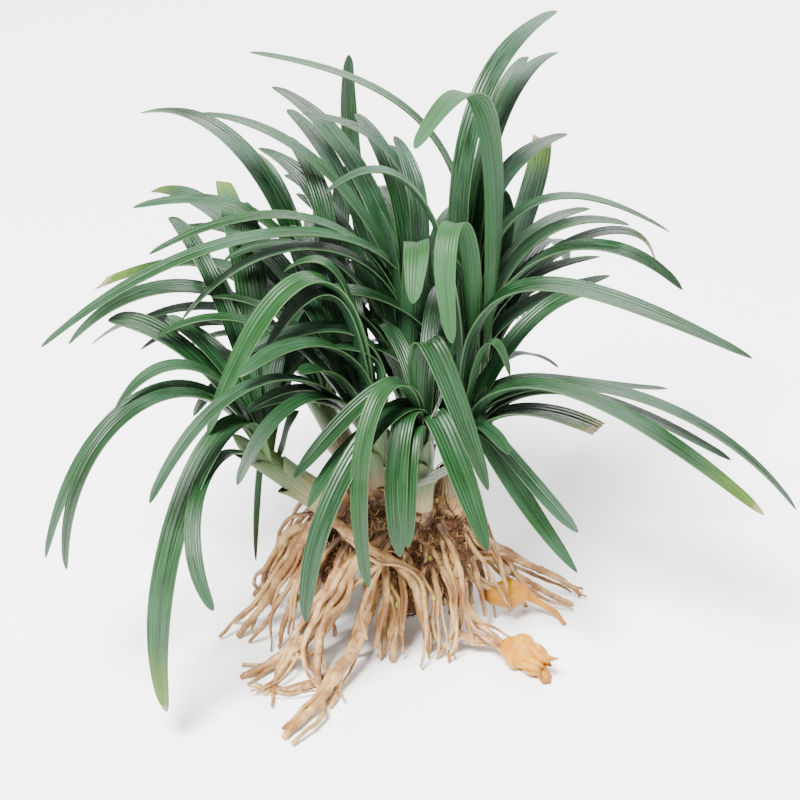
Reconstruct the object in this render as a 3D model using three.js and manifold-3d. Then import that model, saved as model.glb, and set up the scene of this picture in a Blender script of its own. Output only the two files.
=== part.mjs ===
// Bare-root dwarf mondo grass: seven fans of strap leaves on one matted rootstock.
// The clump stands by itself on its splayed, fleshy roots, two of which carry a tuber.
// Millimetres, +Z up. Every place below is measured from the front stem's side of the
// rootstock. The whole clump is then moved so that its origin is on the ground under its
// middle. A heading is a direction seen from above: 0 is +X (right), 90 is +Y (the back).

import * as THREE from 'three';
import { mergeVertices } from 'three/addons/utils/BufferGeometryUtils.js';
import Module from 'manifold-3d';

const wasm = await Module();
wasm.setup();

// Driving dimensions
const MIDDLE = [3.1, 10.8]; // the middle of the clump's outline, seen from above
const GROUND_HEIGHT = 0.5; // the ground, which trims the lowest roots to small flat spots
const GROUND_SIZE = 200;
const BLADE_THICK = 0.7;
const BLADE_BASE_SHARE = 0.4; // a blade's width at its foot, as a share of its full width
const BLADE_TIP_SHARE = 0.24; // and at its rounded tip
const BLADE_STATIONS = [0, 0.14, 0.32, 0.52, 0.73, 0.91, 1];
const SHOULDER = 0.3; // share of the length where a blade reaches its full width
const TAPER = 0.76; // and where it starts to narrow
const STEM_TOP = 6; // a fan's stem goes this far past the point where its blades start
const STEM_BELOW = 2; // its path bends this far below that point
const STEM_FOOT_SHARE = 1.15; // its radius at the foot, as a share of the fan's
const STEM_NARROWS = 0.2; // how much of that share is lost along it
const STEM_TOP_SHARE = 0.72; // and the share at its very top, among the blades
const STEM_TOP_FROM = 0.9;
const STEM_SIDES = 8;
const STEM_STEPS = 5;
const TUBER_END_RADIUS = 0.5;
const TUBER_FULLNESS = 0.8; // below 1 the spindle is fuller than a sine's hump
const TUBER_SIDES = 10;
const TUBER_STEPS = 8;
const ROOT_SIDES = 5;
const ROOT_LEAST_STEPS = 3;
const GAP = 0.3; // between pieces that touch
const CLEARANCE = 0.3; // round a blade that passes another fan
const FREE_FROM = 0.3; // a blade is free of its own fan from this share of its length
const FOOT_OUT = 1.1; // a blade's foot lies this far out from the middle of its stem
const FOOT_ASIDE = 0.8; // and this far to one side, by turns left, middle and right

const TURNS = [0, 3, -3, 6, -6, 10, -10, 15, -15]; // how a drawn leaf is turned to hang clear
const DRAWS = 14; // how often one that fits nowhere is drawn anew
const SEED = 20;

// A leaf of no fixed place. Its points are shares of its length, each for an upright leaf
// and for a drooping one, and each is drawn somewhere between the two.
const DRAWN_LEAF = {
  length: [48, 68], side: [-12, 12], width: [3.4, 4.6], spacing: [0.2, 0.8],
  rise: [0.1, 0.36], overUpright: [0.3, 0.66], overDrooping: [0.45, 0.46],
  tipUpright: [0.52, 0.7], tipDrooping: [0.72, 0.08],
};

// Each row is one leaf: heading at the foot, the curve's two handles and its tip as
// [reach, height] from the foot, how far the heading turns by the tip, and the width.
// A seventh value is the tip's share of the width, for a leaf that was cut or torn.
// A fan's sector is where its other leaves grow: how many, and the headings they span.
const FANS = {
  fan_left: {
    foot: [-9.5, 1.5, 22], neck: [-22, -2, 34], radius: 2.7,
    leaves: [
      [170, [5, 14.5], [18.5, 26.5], [26.5, 24.5], 0, 5.4],
      [162, [3, 15.5], [15, 24.5], [17.5, 24.5], 0, 3.6],
      [200, [3, 17], [16.5, 30], [26.5, 15], 5, 3.6],
      [190, [9, 27.5], [31, 19], [40.5, -6], 20, 3.6],
      [209, [10.5, 29.5], [38.5, 20.5], [42, -2.5], 15, 3.6],
      [225, [4.5, 27.5], [35.5, -1], [36.5, -27], 20, 5],
      [228, [13, 14], [32, 4.5], [34, -7.5], 30, 2.8],
      [104, [8.5, 17.5], [20.5, 34], [37.5, 36], 0, 4.4, 0.6],
      [93, [6.5, 15.5], [19, 29], [29, 35.5], 6, 3.4],
      [165, [0, 7.5], [2, -0.5], [3, -20], 0, 3],
      [20, [3.5, 2], [2.5, 7.5], [5.5, 9], 0, 2.6],
    ],
    sector: { count: 3, from: 80, to: 150 },
  },
  fan_back_left: {
    foot: [-6, 12.5, 21], neck: [-13, 20, 31], radius: 2.7,
    leaves: [
      [192, [4.5, 22], [26.5, 39.5], [45, 22], 8, 4.8],
      [165, [3.5, 27], [17, 34], [41.5, 21], 0, 4.2, 0.8],
      [150, [0, 22], [8, 38], [30, 31], 5, 3.6],
      [198, [0, 13], [9, 20], [21, 22], 0, 3.8],
      [190, [2.5, 18], [17, 29], [34, 24], 10, 3],
      [146, [-1, 30.5], [15, 58.5], [39.5, 49], 0, 5],
      [124, [2, 23.5], [14, 41], [32.5, 39], -8, 3.6],
      [130, [-6, 28.5], [-7, 47], [20.5, 44.5], -5, 4],
      [108, [-1.5, 28], [-11.5, 45], [13.5, 48.5], 10, 3.4],
      [165, [-1, 24.5], [4.5, 47.5], [32.5, 39.5], 12, 3.8],
    ],
    sector: { count: 5, from: 50, to: 160 },
  },
  fan_centre_left: {
    foot: [-4, 3, 22], neck: [-4, 3, 31], radius: 2.8,
    leaves: [
      [204, [1, 38], [13, 53.5], [31, 14], 5, 5.2],
      [205, [3, 27], [6, 47], [20, 25], 0, 4.4],
      [200, [-2.5, 21], [11.5, 32.5], [28, 26], 20, 4],
      [185, [-6, 24], [4, 32], [22, 24], 10, 3.8],
      [185, [2, 24], [4, 45], [15, 36], -5, 3.6],
      [200, [2, 13], [-6, 22], [8, 24], 5, 3.6],
    ],
    sector: { count: 4, from: 90, to: 220 },
  },
  fan_front: {
    foot: [3.5, 0, 21], neck: [4, -3, 33], radius: 2,
    leaves: [
      [210, [-0.5, 25], [7.5, 20.5], [23.5, 4.5], -5, 4.4],
      [212, [-5, 27.5], [25.5, 10.5], [31, -14], 20, 4.8],
      [215, [1.5, 32.5], [22.5, 22.5], [21.5, -10.5], 30, 3.8],
      [235, [2, 24.5], [14.5, 13], [15.5, -7.5], 20, 4],
      [250, [4, 20], [13, 12], [15.5, -5.5], 10, 3.4],
      [295, [-1.5, 20.5], [6.5, 11], [18, -6.5], 10, 4.8],
      [290, [-4, 36.5], [0.5, 26.5], [16, 3.5], 20, 4.8],
      [205, [-0.5, 18.5], [14, 11.5], [22, -0.5], 5, 4.2],
    ],
    sector: { count: 1, from: 40, to: 150 },
  },
  fan_right: {
    foot: [8, 3.2, 21], neck: [10, 3, 32], radius: 2.8,
    leaves: [
      [330, [3, 25.5], [26.5, 20.5], [53.5, 2.5], 5, 5],
      [305, [0.5, 21.5], [2.5, 3.5], [25.5, -12.5], 15, 5],
      [315, [2, 15], [11.5, 3], [27, -3], 0, 3.8],
      [345, [2.5, 11], [12.5, 13], [23.5, 9], 0, 5.2, 0.85],
      [350, [7.5, 22], [25.5, 15.5], [46, 6.5], -5, 3.6],
      [352, [0.5, 21.5], [38, 22.5], [57.5, 0.5], -10, 4],
      [20, [2.5, 22.5], [17, 11], [37.5, 8.5], -5, 3.2],
      [330, [2, 17], [5, 32], [9, 18], 5, 2.6],
      [340, [-2, 41.5], [13.5, 39], [48, 25.5], 5, 5],
      [190, [-2.5, 33.5], [6, 64], [22, 49.5], -5, 4.2],
      [28, [2, 14], [12.5, 17.5], [19.5, 21], 20, 3.8],
      [300, [1, 10], [9, 12], [18, 10], -5, 3.2],
      [228, [-11.5, 44.5], [17, 63.5], [18, 31], 36, 3.8],
    ],
    sector: { count: 4, from: 35, to: 125 },
  },
  fan_back: {
    foot: [0.5, 11.5, 21.5], neck: [2, 15, 32], radius: 2.8,
    leaves: [
      [194, [-5.5, 34.5], [21.5, 47], [39.5, 25], 0, 4],
      [186, [-12.5, 44], [29, 49], [63, 24], 10, 3.6],
      [175, [-4, 34.5], [16, 50], [44, 34.5], 10, 3.2],
      [158, [-4.5, 29], [14, 55.5], [36, 55.5], 12, 3.2],
      [132, [-2.5, 27.5], [10.5, 52], [33, 54.5], 5, 4.4],
      [115, [-1, 23], [9, 40], [30, 46], 5, 3.8],
      [131, [4, 22], [17, 45], [37.5, 47.5], -5, 3.6],
      [100, [6.5, 19], [10.5, 38.5], [41.5, 36.5], -5, 3.8],
      [104, [1.5, 23], [-13, 46], [6, 52], 15, 3.4],
      [225, [3, 14], [2, 29], [6, 42], -15, 2.8],
      [115, [1, 23], [-2.5, 47.5], [17.5, 52.5], 8, 3.4],
      [160, [0, 29], [-8.5, 55.5], [18.5, 56.5], 8, 2.8],
      [280, [1.5, 38.5], [17, 50.5], [26, 36], -10, 4.2],
      [185, [1.5, 23.5], [15, 42.5], [31.5, 33], 0, 3.4],
      [118, [12.5, 16], [27, 40], [23, 61], 0, 3.8],
    ],
    sector: { count: 7, from: 40, to: 150 },
  },
  fan_back_right: {
    foot: [8, 10.5, 20.5], neck: [13, 14, 32], radius: 2.8,
    leaves: [
      [52, [-8.5, 36.5], [-12, 69], [24.5, 69], 5, 4.4],
      [48, [-6, 34.5], [0, 65.5], [32, 59], 15, 3.8],
      [62, [-8, 35], [3, 60.5], [33.5, 57], 12, 3.6],
      [42, [-4, 28], [-4, 51], [26, 47], 10, 3.8],
      [52, [0.5, 25], [22, 30], [37.5, 40], 18, 4.8, 0.75],
      [15, [-3.5, 36], [5.5, 54], [32.5, 36.5], -12, 3.8],
      [15, [-1, 25.5], [8, 43], [25.5, 38], -12, 4.8],
      [40, [0, 22], [5, 38], [29, 33], 5, 3.4],
      [20, [-9.5, 28], [29.5, 46], [31, 29], -12, 3.2],
      [350, [-4.5, 30.5], [18, 46], [34.5, 29.5], 0, 4.6],
      [5, [0, 17], [1, 30], [21, 32], 0, 3.8],
      [15, [-3, 20.5], [8, 23.5], [24, 26.5], 0, 3.8],
      [170, [3, 35.5], [-6.5, 62], [37.5, 67.5], 5, 3.8],
      [326, [6.5, 50.5], [7, 79], [30, 63], -77, 3.8],
      [238, [1, 34], [14, 50], [4, 17], -35, 4.6],
      [80, [0, 17], [-5, 32], [9, 37], 0, 3.4],
      [60, [3, 20], [15, 33], [9, 42], 0, 3.2],
    ],
    sector: { count: 5, from: 50, to: 140 },
  },
};

// The roots that show in front, each with its thickness and the points it runs through.
const ROOTS = [
  [2.2, [-14, -1, 23], [-19, -2, 14], [-24, -3, 6], [-28, -5, 0.8]],
  [2.2, [-8, -2, 20], [-12, -8, 10.5], [-17, -12, 5], [-22, -15, 2.5], [-27, -17, 0.8]],
  [1.6, [-16, -11, 6], [-20, -17, 2.5], [-22.5, -22, 0.6]],
  [2.4, [-3, -1, 20], [-4.5, -6, 11], [-7, -14, 6.5], [-11, -22, 4], [-14.5, -28, 2], [-19, -34, 0.8]],
  [1.6, [-7, -14, 6.5], [-10, -20, 3], [-11.5, -26, 1]],
  [2, [-8, -2, 20], [-12, -10, 12], [-13.7, -16, 6], [-13.6, -20, 0.8]],
  [1.4, [-13.6, -19, 1.2], [-18, -21, 1.4], [-23, -20, 0.6]],
  [2, [-13, -2, 24], [-6, -8, 21.5], [0, -9, 18], [2.7, -9.5, 13], [4.2, -9.5, 4], [5, -9.5, 0.8]],
  [2, [0, -2, 23], [-7, -9, 19], [-10.5, -11, 14], [-15.5, -12.5, 7], [-19, -13.5, 0.8]],
  [2.6, [-1, 0, 18], [-1, -7, 9], [-1.3, -12.5, 0.8]],
  [1.3, [5, -3, 18], [6.2, -8, 12], [6.5, -11, 0.6]],
  [1.8, [8, -2, 18], [9.5, -8, 8], [9, -10.5, 0.8]],
  [2, [7, -1, 23], [9.4, -5, 16.5], [11, -6, 9.5], [14.4, -8, 5], [18, -11, 3.4]],
  [1.6, [9.2, -9, 5], [13, -8.5, 3], [18, -11, 3.4]],
  [1.8, [8, 1, 24], [14, 3, 16], [21, 6, 9.5], [28, 8, 5], [33, 8.5, 0.7]],
  [1.8, [8, 2, 17], [17, 5, 10], [22.5, 6.5, 5], [31, 5, 0.7]],
  [1.8, [8, 0, 15], [13, 0.5, 9], [17, 1, 6.4]],
  [1.8, [-13, 0, 22], [-19, 1, 18], [-23, 2, 11], [-24, 3, 5], [-23, 6, 0.7]],
  [1.6, [-13, 0, 21], [-17, -4, 14], [-19, -6, 8], [-21, -8, 0.7]],
];
const ROOT_TIP_SHARE = 0.55; // a root's thickness at its tip, as a share of the full one
const ROOT_STEP = 5.5; // length of root between two rings

// The roots at the back and the sides, each arching out from the rootstock to the ground
const HIDDEN_ROOTS = {
  count: 13, from: -5, to: 200, sway: 2, thick: [1.4, 2.3], reach: [14, 29.4],
  start: [6, 21], bend: [10, 12], bendHeight: 19, knee: 0.75, kneeHeight: [7, 11], end: 0.7,
};

// The rootstock that the roots and the fans grow from, and what gives it its lumps
const STOCK = {
  centre: [-1, 6, 19.5], half: [12.5, 10.5, 6.5], detail: 2, lumps: 0.2, waves: [5, 4, 3],
};

// A tuber: its middle, the direction it points in, half its length and its radius,
// and the thin root that goes on from its far end
const TUBERS = {
  tuber_right: {
    centre: [18.8, 1.6, 5.6], heading: 10, dip: 8, halfLength: 4.2, radius: 2.7,
    tail: [[22, 2, 5], [26.5, 1.5, 2.5], [29, -1, 0.6]], tailThick: 1.3,
  },
  tuber_front: {
    centre: [20.8, -13.4, 3.3], heading: -42, dip: 2, halfLength: 4.3, radius: 2.9,
    tail: [[23, -15.4, 2.6], [24.3, -17, 1.8], [25, -18.4, 0.8]], tailThick: 2.2,
  },
};

// A papery scrap of dead sheath, wrapped round the front stem
const SCRAP = {
  fan: 'fan_front', width: 2.6,
  path: [[8.2, -4.6, 34.6], [5.8, -5.3, 33.4], [3.4, -5.4, 32.2], [0.6, -5.2, 31.2]],
};

const COLOURS = { leaf: 0x3f6b45, stock: 0xa9825a, tuber: 0xcf9a45 };

// The usual small generator of even draws from 0 to 1
const STEP = 16807;
const PERIOD = 2147483647;
let state = SEED;
function random() {
  state = (state * STEP) % PERIOD;
  return state / PERIOD;
}
const between = ([low, high]) => THREE.MathUtils.lerp(low, high, random());
const mixed = (a, b, share) => a.map((value, index) => THREE.MathUtils.lerp(value, b[index], share));

const vector = (point) => new THREE.Vector3(...point);
const smooth = (share) => THREE.MathUtils.smoothstep(share, 0, 1);

// A closed body from rings of points, with a flat cap at each end
function skin(rings) {
  const sides = rings[0].length;
  const positions = rings.flat().flatMap((point) => point.toArray());
  const faces = [];
  for (let ring = 0; ring < rings.length - 1; ring += 1) {
    for (let side = 0; side < sides; side += 1) {
      const here = ring * sides + side;
      const next = ring * sides + ((side + 1) % sides);
      faces.push(here, next, next + sides, here, next + sides, here + sides);
    }
  }
  const last = (rings.length - 1) * sides;
  for (let side = 1; side < sides - 1; side += 1) {
    faces.push(0, side + 1, side, last, last + side, last + side + 1);
  }
  const geometry = new THREE.BufferGeometry();
  geometry.setAttribute('position', new THREE.Float32BufferAttribute(positions, 3));
  geometry.setIndex(faces);
  return geometry;
}

function solid(geometry) {
  geometry.deleteAttribute('normal');
  geometry.deleteAttribute('uv');
  const merged = mergeVertices(geometry);
  const vertProperties = Float32Array.from(merged.attributes.position.array);
  const triVerts = Uint32Array.from(merged.index.array);
  return new wasm.Manifold(new wasm.Mesh({ numProp: 3, vertProperties, triVerts }));
}

// The largest body of a union, without the loose scraps that a cut can leave
function mainBody(joined) {
  return joined.decompose().sort((a, b) => b.volume() - a.volume())[0];
}

function mesh(name, body, colour) {
  const data = mainBody(body).getMesh();
  const geometry = new THREE.BufferGeometry();
  geometry.setAttribute('position', new THREE.BufferAttribute(data.vertProperties, 3));
  geometry.setIndex(new THREE.BufferAttribute(data.triVerts, 1));
  const material = new THREE.MeshStandardMaterial({ color: colour, roughness: 0.6, metalness: 0 });
  const made = new THREE.Mesh(geometry, material);
  made.name = name;
  return made;
}

// A round, tapered body along a smooth path
function tube(points, radiusAt, sides, steps) {
  const curve = new THREE.CatmullRomCurve3(points.map(vector));
  const frames = curve.computeFrenetFrames(steps);
  const rings = frames.tangents.map((tangent, step) => {
    const middle = curve.getPointAt(step / steps);
    const radius = radiusAt(step / steps);
    return Array.from({ length: sides }, (_, side) => {
      const angle = (2 * Math.PI * side) / sides;
      return middle.clone()
        .addScaledVector(frames.normals[step], radius * Math.cos(angle))
        .addScaledVector(frames.binormals[step], radius * Math.sin(angle));
    });
  });
  return skin(rings);
}

// The spine of a leaf: it rises from the foot, bends over and ends at the tip.
// The leaf's number in its fan says on which side of the stem it starts.
function spine(neck, number, [heading, rise, over, tip, side]) {
  const at = ([reach, height], turn, aside = 0) => {
    const angle = THREE.MathUtils.degToRad(heading + turn);
    return vector(neck).add(new THREE.Vector3(
      reach * Math.cos(angle) - aside * Math.sin(angle),
      reach * Math.sin(angle) + aside * Math.cos(angle),
      height));
  };
  const foot = at([FOOT_OUT, 0], 0, FOOT_ASIDE * ((number % 3) - 1));
  return new THREE.CubicBezierCurve3(foot, at(rise, 0), at(over, side / 2), at(tip, side));
}

// A blade's width along its length: narrow at the foot, parallel, then a rounded tip
function widthShare(share, tipShare) {
  if (share < SHOULDER) {
    return THREE.MathUtils.lerp(BLADE_BASE_SHARE, 1, smooth(share / SHOULDER));
  }
  const past = Math.max(0, (share - TAPER) / (1 - TAPER));
  return THREE.MathUtils.lerp(1, tipShare, past * past);
}

// One leaf from a share of its length onwards, grown by a margin on every side
function blade(neck, number, leaf, from = 0, margin = 0) {
  const [heading, , , , side, width, tipShare = BLADE_TIP_SHARE] = leaf;
  const curve = spine(neck, number, leaf);
  const stations = BLADE_STATIONS.filter((share) => share >= from);
  const rings = stations.map((share) => {
    const middle = curve.getPoint(share);
    const tangent = curve.getTangent(share);
    const angle = THREE.MathUtils.degToRad(heading + side * share);
    const across = new THREE.Vector3(-Math.sin(angle), Math.cos(angle), 0);
    across.addScaledVector(tangent, -across.dot(tangent)).normalize();
    const normal = new THREE.Vector3().crossVectors(tangent, across);
    const half = (width * widthShare(share, tipShare)) / 2 + margin;
    const thick = BLADE_THICK / 2 + margin;
    return [[1, 1], [-1, 1], [-1, -1], [1, -1]].map(([a, b]) => middle.clone()
      .addScaledVector(across, a * half)
      .addScaledVector(normal, b * thick));
  });
  return solid(skin(rings));
}

// A leaf of no fixed place, in its share of the sector
function drawnLeaf({ count, from, to }, index) {
  const heading = from + ((to - from) * (index + between(DRAWN_LEAF.spacing))) / count;
  const length = between(DRAWN_LEAF.length);
  const droop = random();
  const scaled = (shares) => shares.map((share) => share * length);
  const rise = scaled(DRAWN_LEAF.rise);
  const over = scaled(mixed(DRAWN_LEAF.overUpright, DRAWN_LEAF.overDrooping, droop));
  const tip = scaled(mixed(DRAWN_LEAF.tipUpright, DRAWN_LEAF.tipDrooping, droop));
  return [heading, rise, over, tip, between(DRAWN_LEAF.side), between(DRAWN_LEAF.width)];
}

const boxesMeet = (a, b) => [0, 1, 2].every(
  (axis) => a.min[axis] <= b.max[axis] && b.min[axis] <= a.max[axis]);

function meets(body, others) {
  const box = body.boundingBox();
  return others.some((other) => boxesMeet(box, other.box) && body.intersect(other.body).volume() > 0);
}

const boxed = (body) => ({ body, box: body.boundingBox() });

// The stem that a fan's leaves come out of, down to its foot in the rootstock
function stem({ foot, neck, radius }, margin = 0) {
  const up = vector(neck).sub(vector(foot)).normalize();
  const top = vector(neck).addScaledVector(up, STEM_TOP + margin);
  const low = vector(foot).addScaledVector(up, -margin);
  const middle = vector(neck).addScaledVector(up, -STEM_BELOW);
  const path = [low, middle, top].map((point) => point.toArray());
  const widthAt = (share) => (
    share < STEM_TOP_FROM ? STEM_FOOT_SHARE - STEM_NARROWS * share : STEM_TOP_SHARE);
  return solid(tube(path, (share) => radius * widthAt(share) + margin, STEM_SIDES, STEM_STEPS));
}

// A flat strip standing on its edge along a path over the ground
function upright({ path, width }) {
  const rings = path.map((point, index) => {
    const before = vector(path[Math.max(0, index - 1)]);
    const along = vector(path[Math.min(path.length - 1, index + 1)]).sub(before).normalize();
    const normal = new THREE.Vector3(-along.y, along.x, 0).normalize();
    const across = new THREE.Vector3().crossVectors(along, normal);
    return [[1, 1], [-1, 1], [-1, -1], [1, -1]].map(([a, b]) => vector(point)
      .addScaledVector(across, -a * width / 2)
      .addScaledVector(normal, b * BLADE_THICK / 2));
  });
  return solid(skin(rings));
}

// A spindle, pointed at both ends
function tuberBody({ centre, heading, dip, halfLength, radius }, margin = 0) {
  const turn = THREE.MathUtils.degToRad(heading);
  const fall = THREE.MathUtils.degToRad(dip);
  const along = new THREE.Vector3(
    Math.cos(turn) * Math.cos(fall), Math.sin(turn) * Math.cos(fall), -Math.sin(fall));
  const ends = [-1, 0, 1].map((end) => vector(centre)
    .addScaledVector(along, end * (halfLength + margin)).toArray());
  const radiusAt = (share) => TUBER_END_RADIUS + margin
    + (radius - TUBER_END_RADIUS) * Math.sin(Math.PI * share) ** TUBER_FULLNESS;
  return solid(tube(ends, radiusAt, TUBER_SIDES, TUBER_STEPS));
}

function rootBody([thick, ...points]) {
  const length = new THREE.CatmullRomCurve3(points.map(vector)).getLength();
  const steps = Math.max(ROOT_LEAST_STEPS, Math.round(length / ROOT_STEP));
  const radiusAt = (share) => (thick / 2) * (1 - (1 - ROOT_TIP_SHARE) * share * share);
  return solid(tube(points, radiusAt, ROOT_SIDES, steps));
}

function drawnRoot(row, index) {
  const turn = row.from + ((row.to - row.from) * (index + random())) / row.count;
  const angle = THREE.MathUtils.degToRad(turn);
  const far = between(row.reach);
  const girth = between(row.thick);
  const at = (out, height) => {
    const aside = between([-row.sway, row.sway]);
    return [
      STOCK.centre[0] + out * Math.cos(angle) - aside * Math.sin(angle),
      STOCK.centre[1] + out * Math.sin(angle) + aside * Math.cos(angle),
      height,
    ];
  };
  const start = at(...row.start);
  const bend = at(between(row.bend), row.bendHeight);
  const knee = at(row.knee * far, between(row.kneeHeight));
  return [girth, start, bend, knee, at(far, row.end)];
}

// The lumpy rootstock
function stockBody() {
  const geometry = new THREE.IcosahedronGeometry(1, STOCK.detail);
  const [waveX, waveY, waveZ] = STOCK.waves;
  geometry.deleteAttribute('normal');
  geometry.deleteAttribute('uv');
  const round = mergeVertices(geometry);
  const position = round.attributes.position;
  const point = new THREE.Vector3();
  for (let index = 0; index < position.count; index += 1) {
    point.fromBufferAttribute(position, index);
    const wave = Math.sin(waveX * point.x + 1) * Math.sin(waveY * point.y) * Math.cos(waveZ * point.z);
    point.multiplyScalar(1 + STOCK.lumps * wave);
    point.multiply(vector(STOCK.half)).add(vector(STOCK.centre));
    position.setXYZ(index, point.x, point.y, point.z);
  }
  return solid(round);
}

const ground = solid(new THREE.BoxGeometry(GROUND_SIZE, GROUND_SIZE, GROUND_SIZE)
  .translate(0, 0, GROUND_HEIGHT - GROUND_SIZE / 2));

const hiddenRoots = Array.from(
  { length: HIDDEN_ROOTS.count }, (_, index) => drawnRoot(HIDDEN_ROOTS, index));
const fans = Object.values(FANS);
const tubers = Object.values(TUBERS);
const roots = [...ROOTS, ...hiddenRoots].map(rootBody);
const rootMass = wasm.Manifold.union([stockBody(), ...roots])
  .subtract(ground)
  .subtract(wasm.Manifold.union(fans.map((fan) => stem(fan, GAP))))
  .subtract(wasm.Manifold.union(tubers.map((tuber) => tuberBody(tuber, GAP))));

const group = new THREE.Group();
group.add(mesh('root_mass', rootMass, COLOURS.stock));

for (const [name, tuber] of Object.entries(TUBERS)) {
  const tail = rootBody([tuber.tailThick, ...tuber.tail]);
  const others = mainBody(rootMass);
  group.add(mesh(name, tuberBody(tuber).add(tail).subtract(ground).subtract(others), COLOURS.tuber));
}

// The listed leaves stand as given. The drawn ones are fitted in between them.
const stems = fans.map((fan) => boxed(stem(fan)));
const placed = fans.map((fan) => fan.leaves.map(
  (leaf, number) => boxed(blade(fan.neck, number, leaf))));
const free = fans.map((fan) => fan.leaves.map(
  (leaf, number) => boxed(blade(fan.neck, number, leaf, FREE_FROM))));
const below = [boxed(mainBody(rootMass)), ...tubers.map((tuber) => boxed(tuberBody(tuber)))];

function fitLeaf(fanIndex, leaf) {
  const { neck } = fans[fanIndex];
  const number = placed[fanIndex].length;
  const foreign = [...below, ...stems.filter((_, index) => index !== fanIndex),
    ...placed.filter((_, index) => index !== fanIndex).flat()];
  const [heading, ...rest] = leaf;
  const turned = TURNS.map((turn) => [heading + turn, ...rest]).find(
    (place) => !meets(blade(neck, number, place, 0, CLEARANCE), foreign)
      && !meets(blade(neck, number, place, FREE_FROM), free[fanIndex]));
  if (!turned) return false;
  placed[fanIndex].push(boxed(blade(neck, number, turned)));
  free[fanIndex].push(boxed(blade(neck, number, turned, FREE_FROM)));
  return true;
}

fans.forEach((fan, index) => {
  for (let number = 0; number < fan.sector.count; number += 1) {
    let draws = 0;
    while (draws < DRAWS && !fitLeaf(index, drawnLeaf(fan.sector, number))) draws += 1;
  }
});

Object.keys(FANS).forEach((name, index) => {
  const bodies = [stems[index], ...placed[index]].map((item) => item.body);
  if (name === SCRAP.fan) bodies.push(upright(SCRAP));
  group.add(mesh(name, wasm.Manifold.union(bodies), COLOURS.leaf));
});

group.position.set(-MIDDLE[0], -MIDDLE[1], -GROUND_HEIGHT);

export default group;
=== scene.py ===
# %% [markdown]
# A bare-root clump of dwarf mondo grass. On the real plant, strap leaves grow in fans from
# a knotted rootstock, and fleshy tan roots with a few amber tubers hang under it. The CAD
# frame already holds every stem, leaf and root at its real place and size. This script
# grows the fine leaves, sheaths and roots along those same lines and hides the plain solids.

import math
import random

import bpy
import numpy as np
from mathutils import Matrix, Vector
from mathutils.bvhtree import BVHTree
from mathutils.kdtree import KDTree


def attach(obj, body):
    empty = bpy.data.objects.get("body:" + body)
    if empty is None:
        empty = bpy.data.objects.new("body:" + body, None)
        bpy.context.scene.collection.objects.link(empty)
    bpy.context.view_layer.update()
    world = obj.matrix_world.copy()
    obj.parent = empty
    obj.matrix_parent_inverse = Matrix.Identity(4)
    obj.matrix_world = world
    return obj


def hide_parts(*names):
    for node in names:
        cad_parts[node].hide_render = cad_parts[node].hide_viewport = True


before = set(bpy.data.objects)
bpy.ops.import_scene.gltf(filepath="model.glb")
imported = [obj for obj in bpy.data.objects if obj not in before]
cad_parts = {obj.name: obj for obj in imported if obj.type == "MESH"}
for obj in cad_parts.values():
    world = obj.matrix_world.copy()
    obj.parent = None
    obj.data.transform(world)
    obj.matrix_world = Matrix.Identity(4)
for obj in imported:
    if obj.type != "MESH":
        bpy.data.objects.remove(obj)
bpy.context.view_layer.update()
MM = 0.001
MIDDLE = (3.1, 10.8)  # the clump's middle in the plan that every place below is given in
GROUND_HEIGHT = 0.5
ORIGIN = np.array([*MIDDLE, GROUND_HEIGHT])


def in_frame(points):
    """Points of the plan, in millimetres, as places in the frame, in metres."""
    return (np.asarray(points, float) - ORIGIN) * MM


print("nodes:", sorted(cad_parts))

# %% [markdown]
# The photograph looks slightly down on the clump from the front. A long lens from 350 mm
# keeps the leaves' true lengths, with little perspective. The camera is aimed at a point
# half-way up the clump, so one elevation and one distance describe the whole view.

# %% The camera
VIEW_TARGET = (0, 0, 45)
VIEW_ELEVATION = 28
VIEW_DISTANCE = 350
VIEW_FOCUS_PIXELS = 2100
PICTURE = 800
SENSOR = 36

tilt = math.radians(VIEW_ELEVATION)
view_back = np.array([0, -math.cos(tilt), math.sin(tilt)])
view_target = in_frame(VIEW_TARGET)
view_place = view_target + view_back * VIEW_DISTANCE * MM
camera = bpy.data.objects.new("camera", bpy.data.cameras.new("camera"))
camera.data.lens = VIEW_FOCUS_PIXELS / PICTURE * SENSOR
camera.data.sensor_width = SENSOR
camera.data.clip_start = 0.01
camera.location = view_place
camera.rotation_euler = Vector(view_back).to_track_quat("Z", "Y").to_euler()
bpy.context.scene.collection.objects.link(camera)
bpy.context.scene.camera = camera
print("camera at", [round(x, 3) for x in view_place])


# %% [markdown]
# Five helpers keep the node trees short: one makes a node and fills its sockets, two are
# for arithmetic with numbers and with vectors, one mixes two colours and one is a smooth
# step. They serve Geometry Nodes and materials alike.

# %% Helpers for node trees
def node(tree, kind, sockets=None, **settings):
    """A new node. Sockets are filled by index or name, with a value or another's output."""
    made = tree.nodes.new(kind)
    for name, value in settings.items():
        setattr(made, name, value)
    for place, value in (sockets or {}).items():
        if isinstance(value, bpy.types.NodeSocket):
            tree.links.new(value, made.inputs[place])
        else:
            made.inputs[place].default_value = value
    return made


def calc(tree, operation, *values):
    sockets = dict(enumerate(values))
    return node(tree, "ShaderNodeMath", sockets, operation=operation).outputs[0]


def vector_calc(tree, operation, first, second):
    """SCALE takes its number in the fourth socket, the others take two vectors."""
    sockets = {0: first, 3 if operation == "SCALE" else 1: second}
    return node(tree, "ShaderNodeVectorMath", sockets, operation=operation).outputs[0]


def mix(tree, share, first, second):
    """Two colours mixed, each a socket or an (r, g, b)."""
    first, second = (
        value if isinstance(value, bpy.types.NodeSocket) else (*value, 1)
        for value in (first, second))
    made = node(tree, "ShaderNodeMix", {0: share, 6: first, 7: second}, data_type="RGBA")
    return made.outputs[2]


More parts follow.
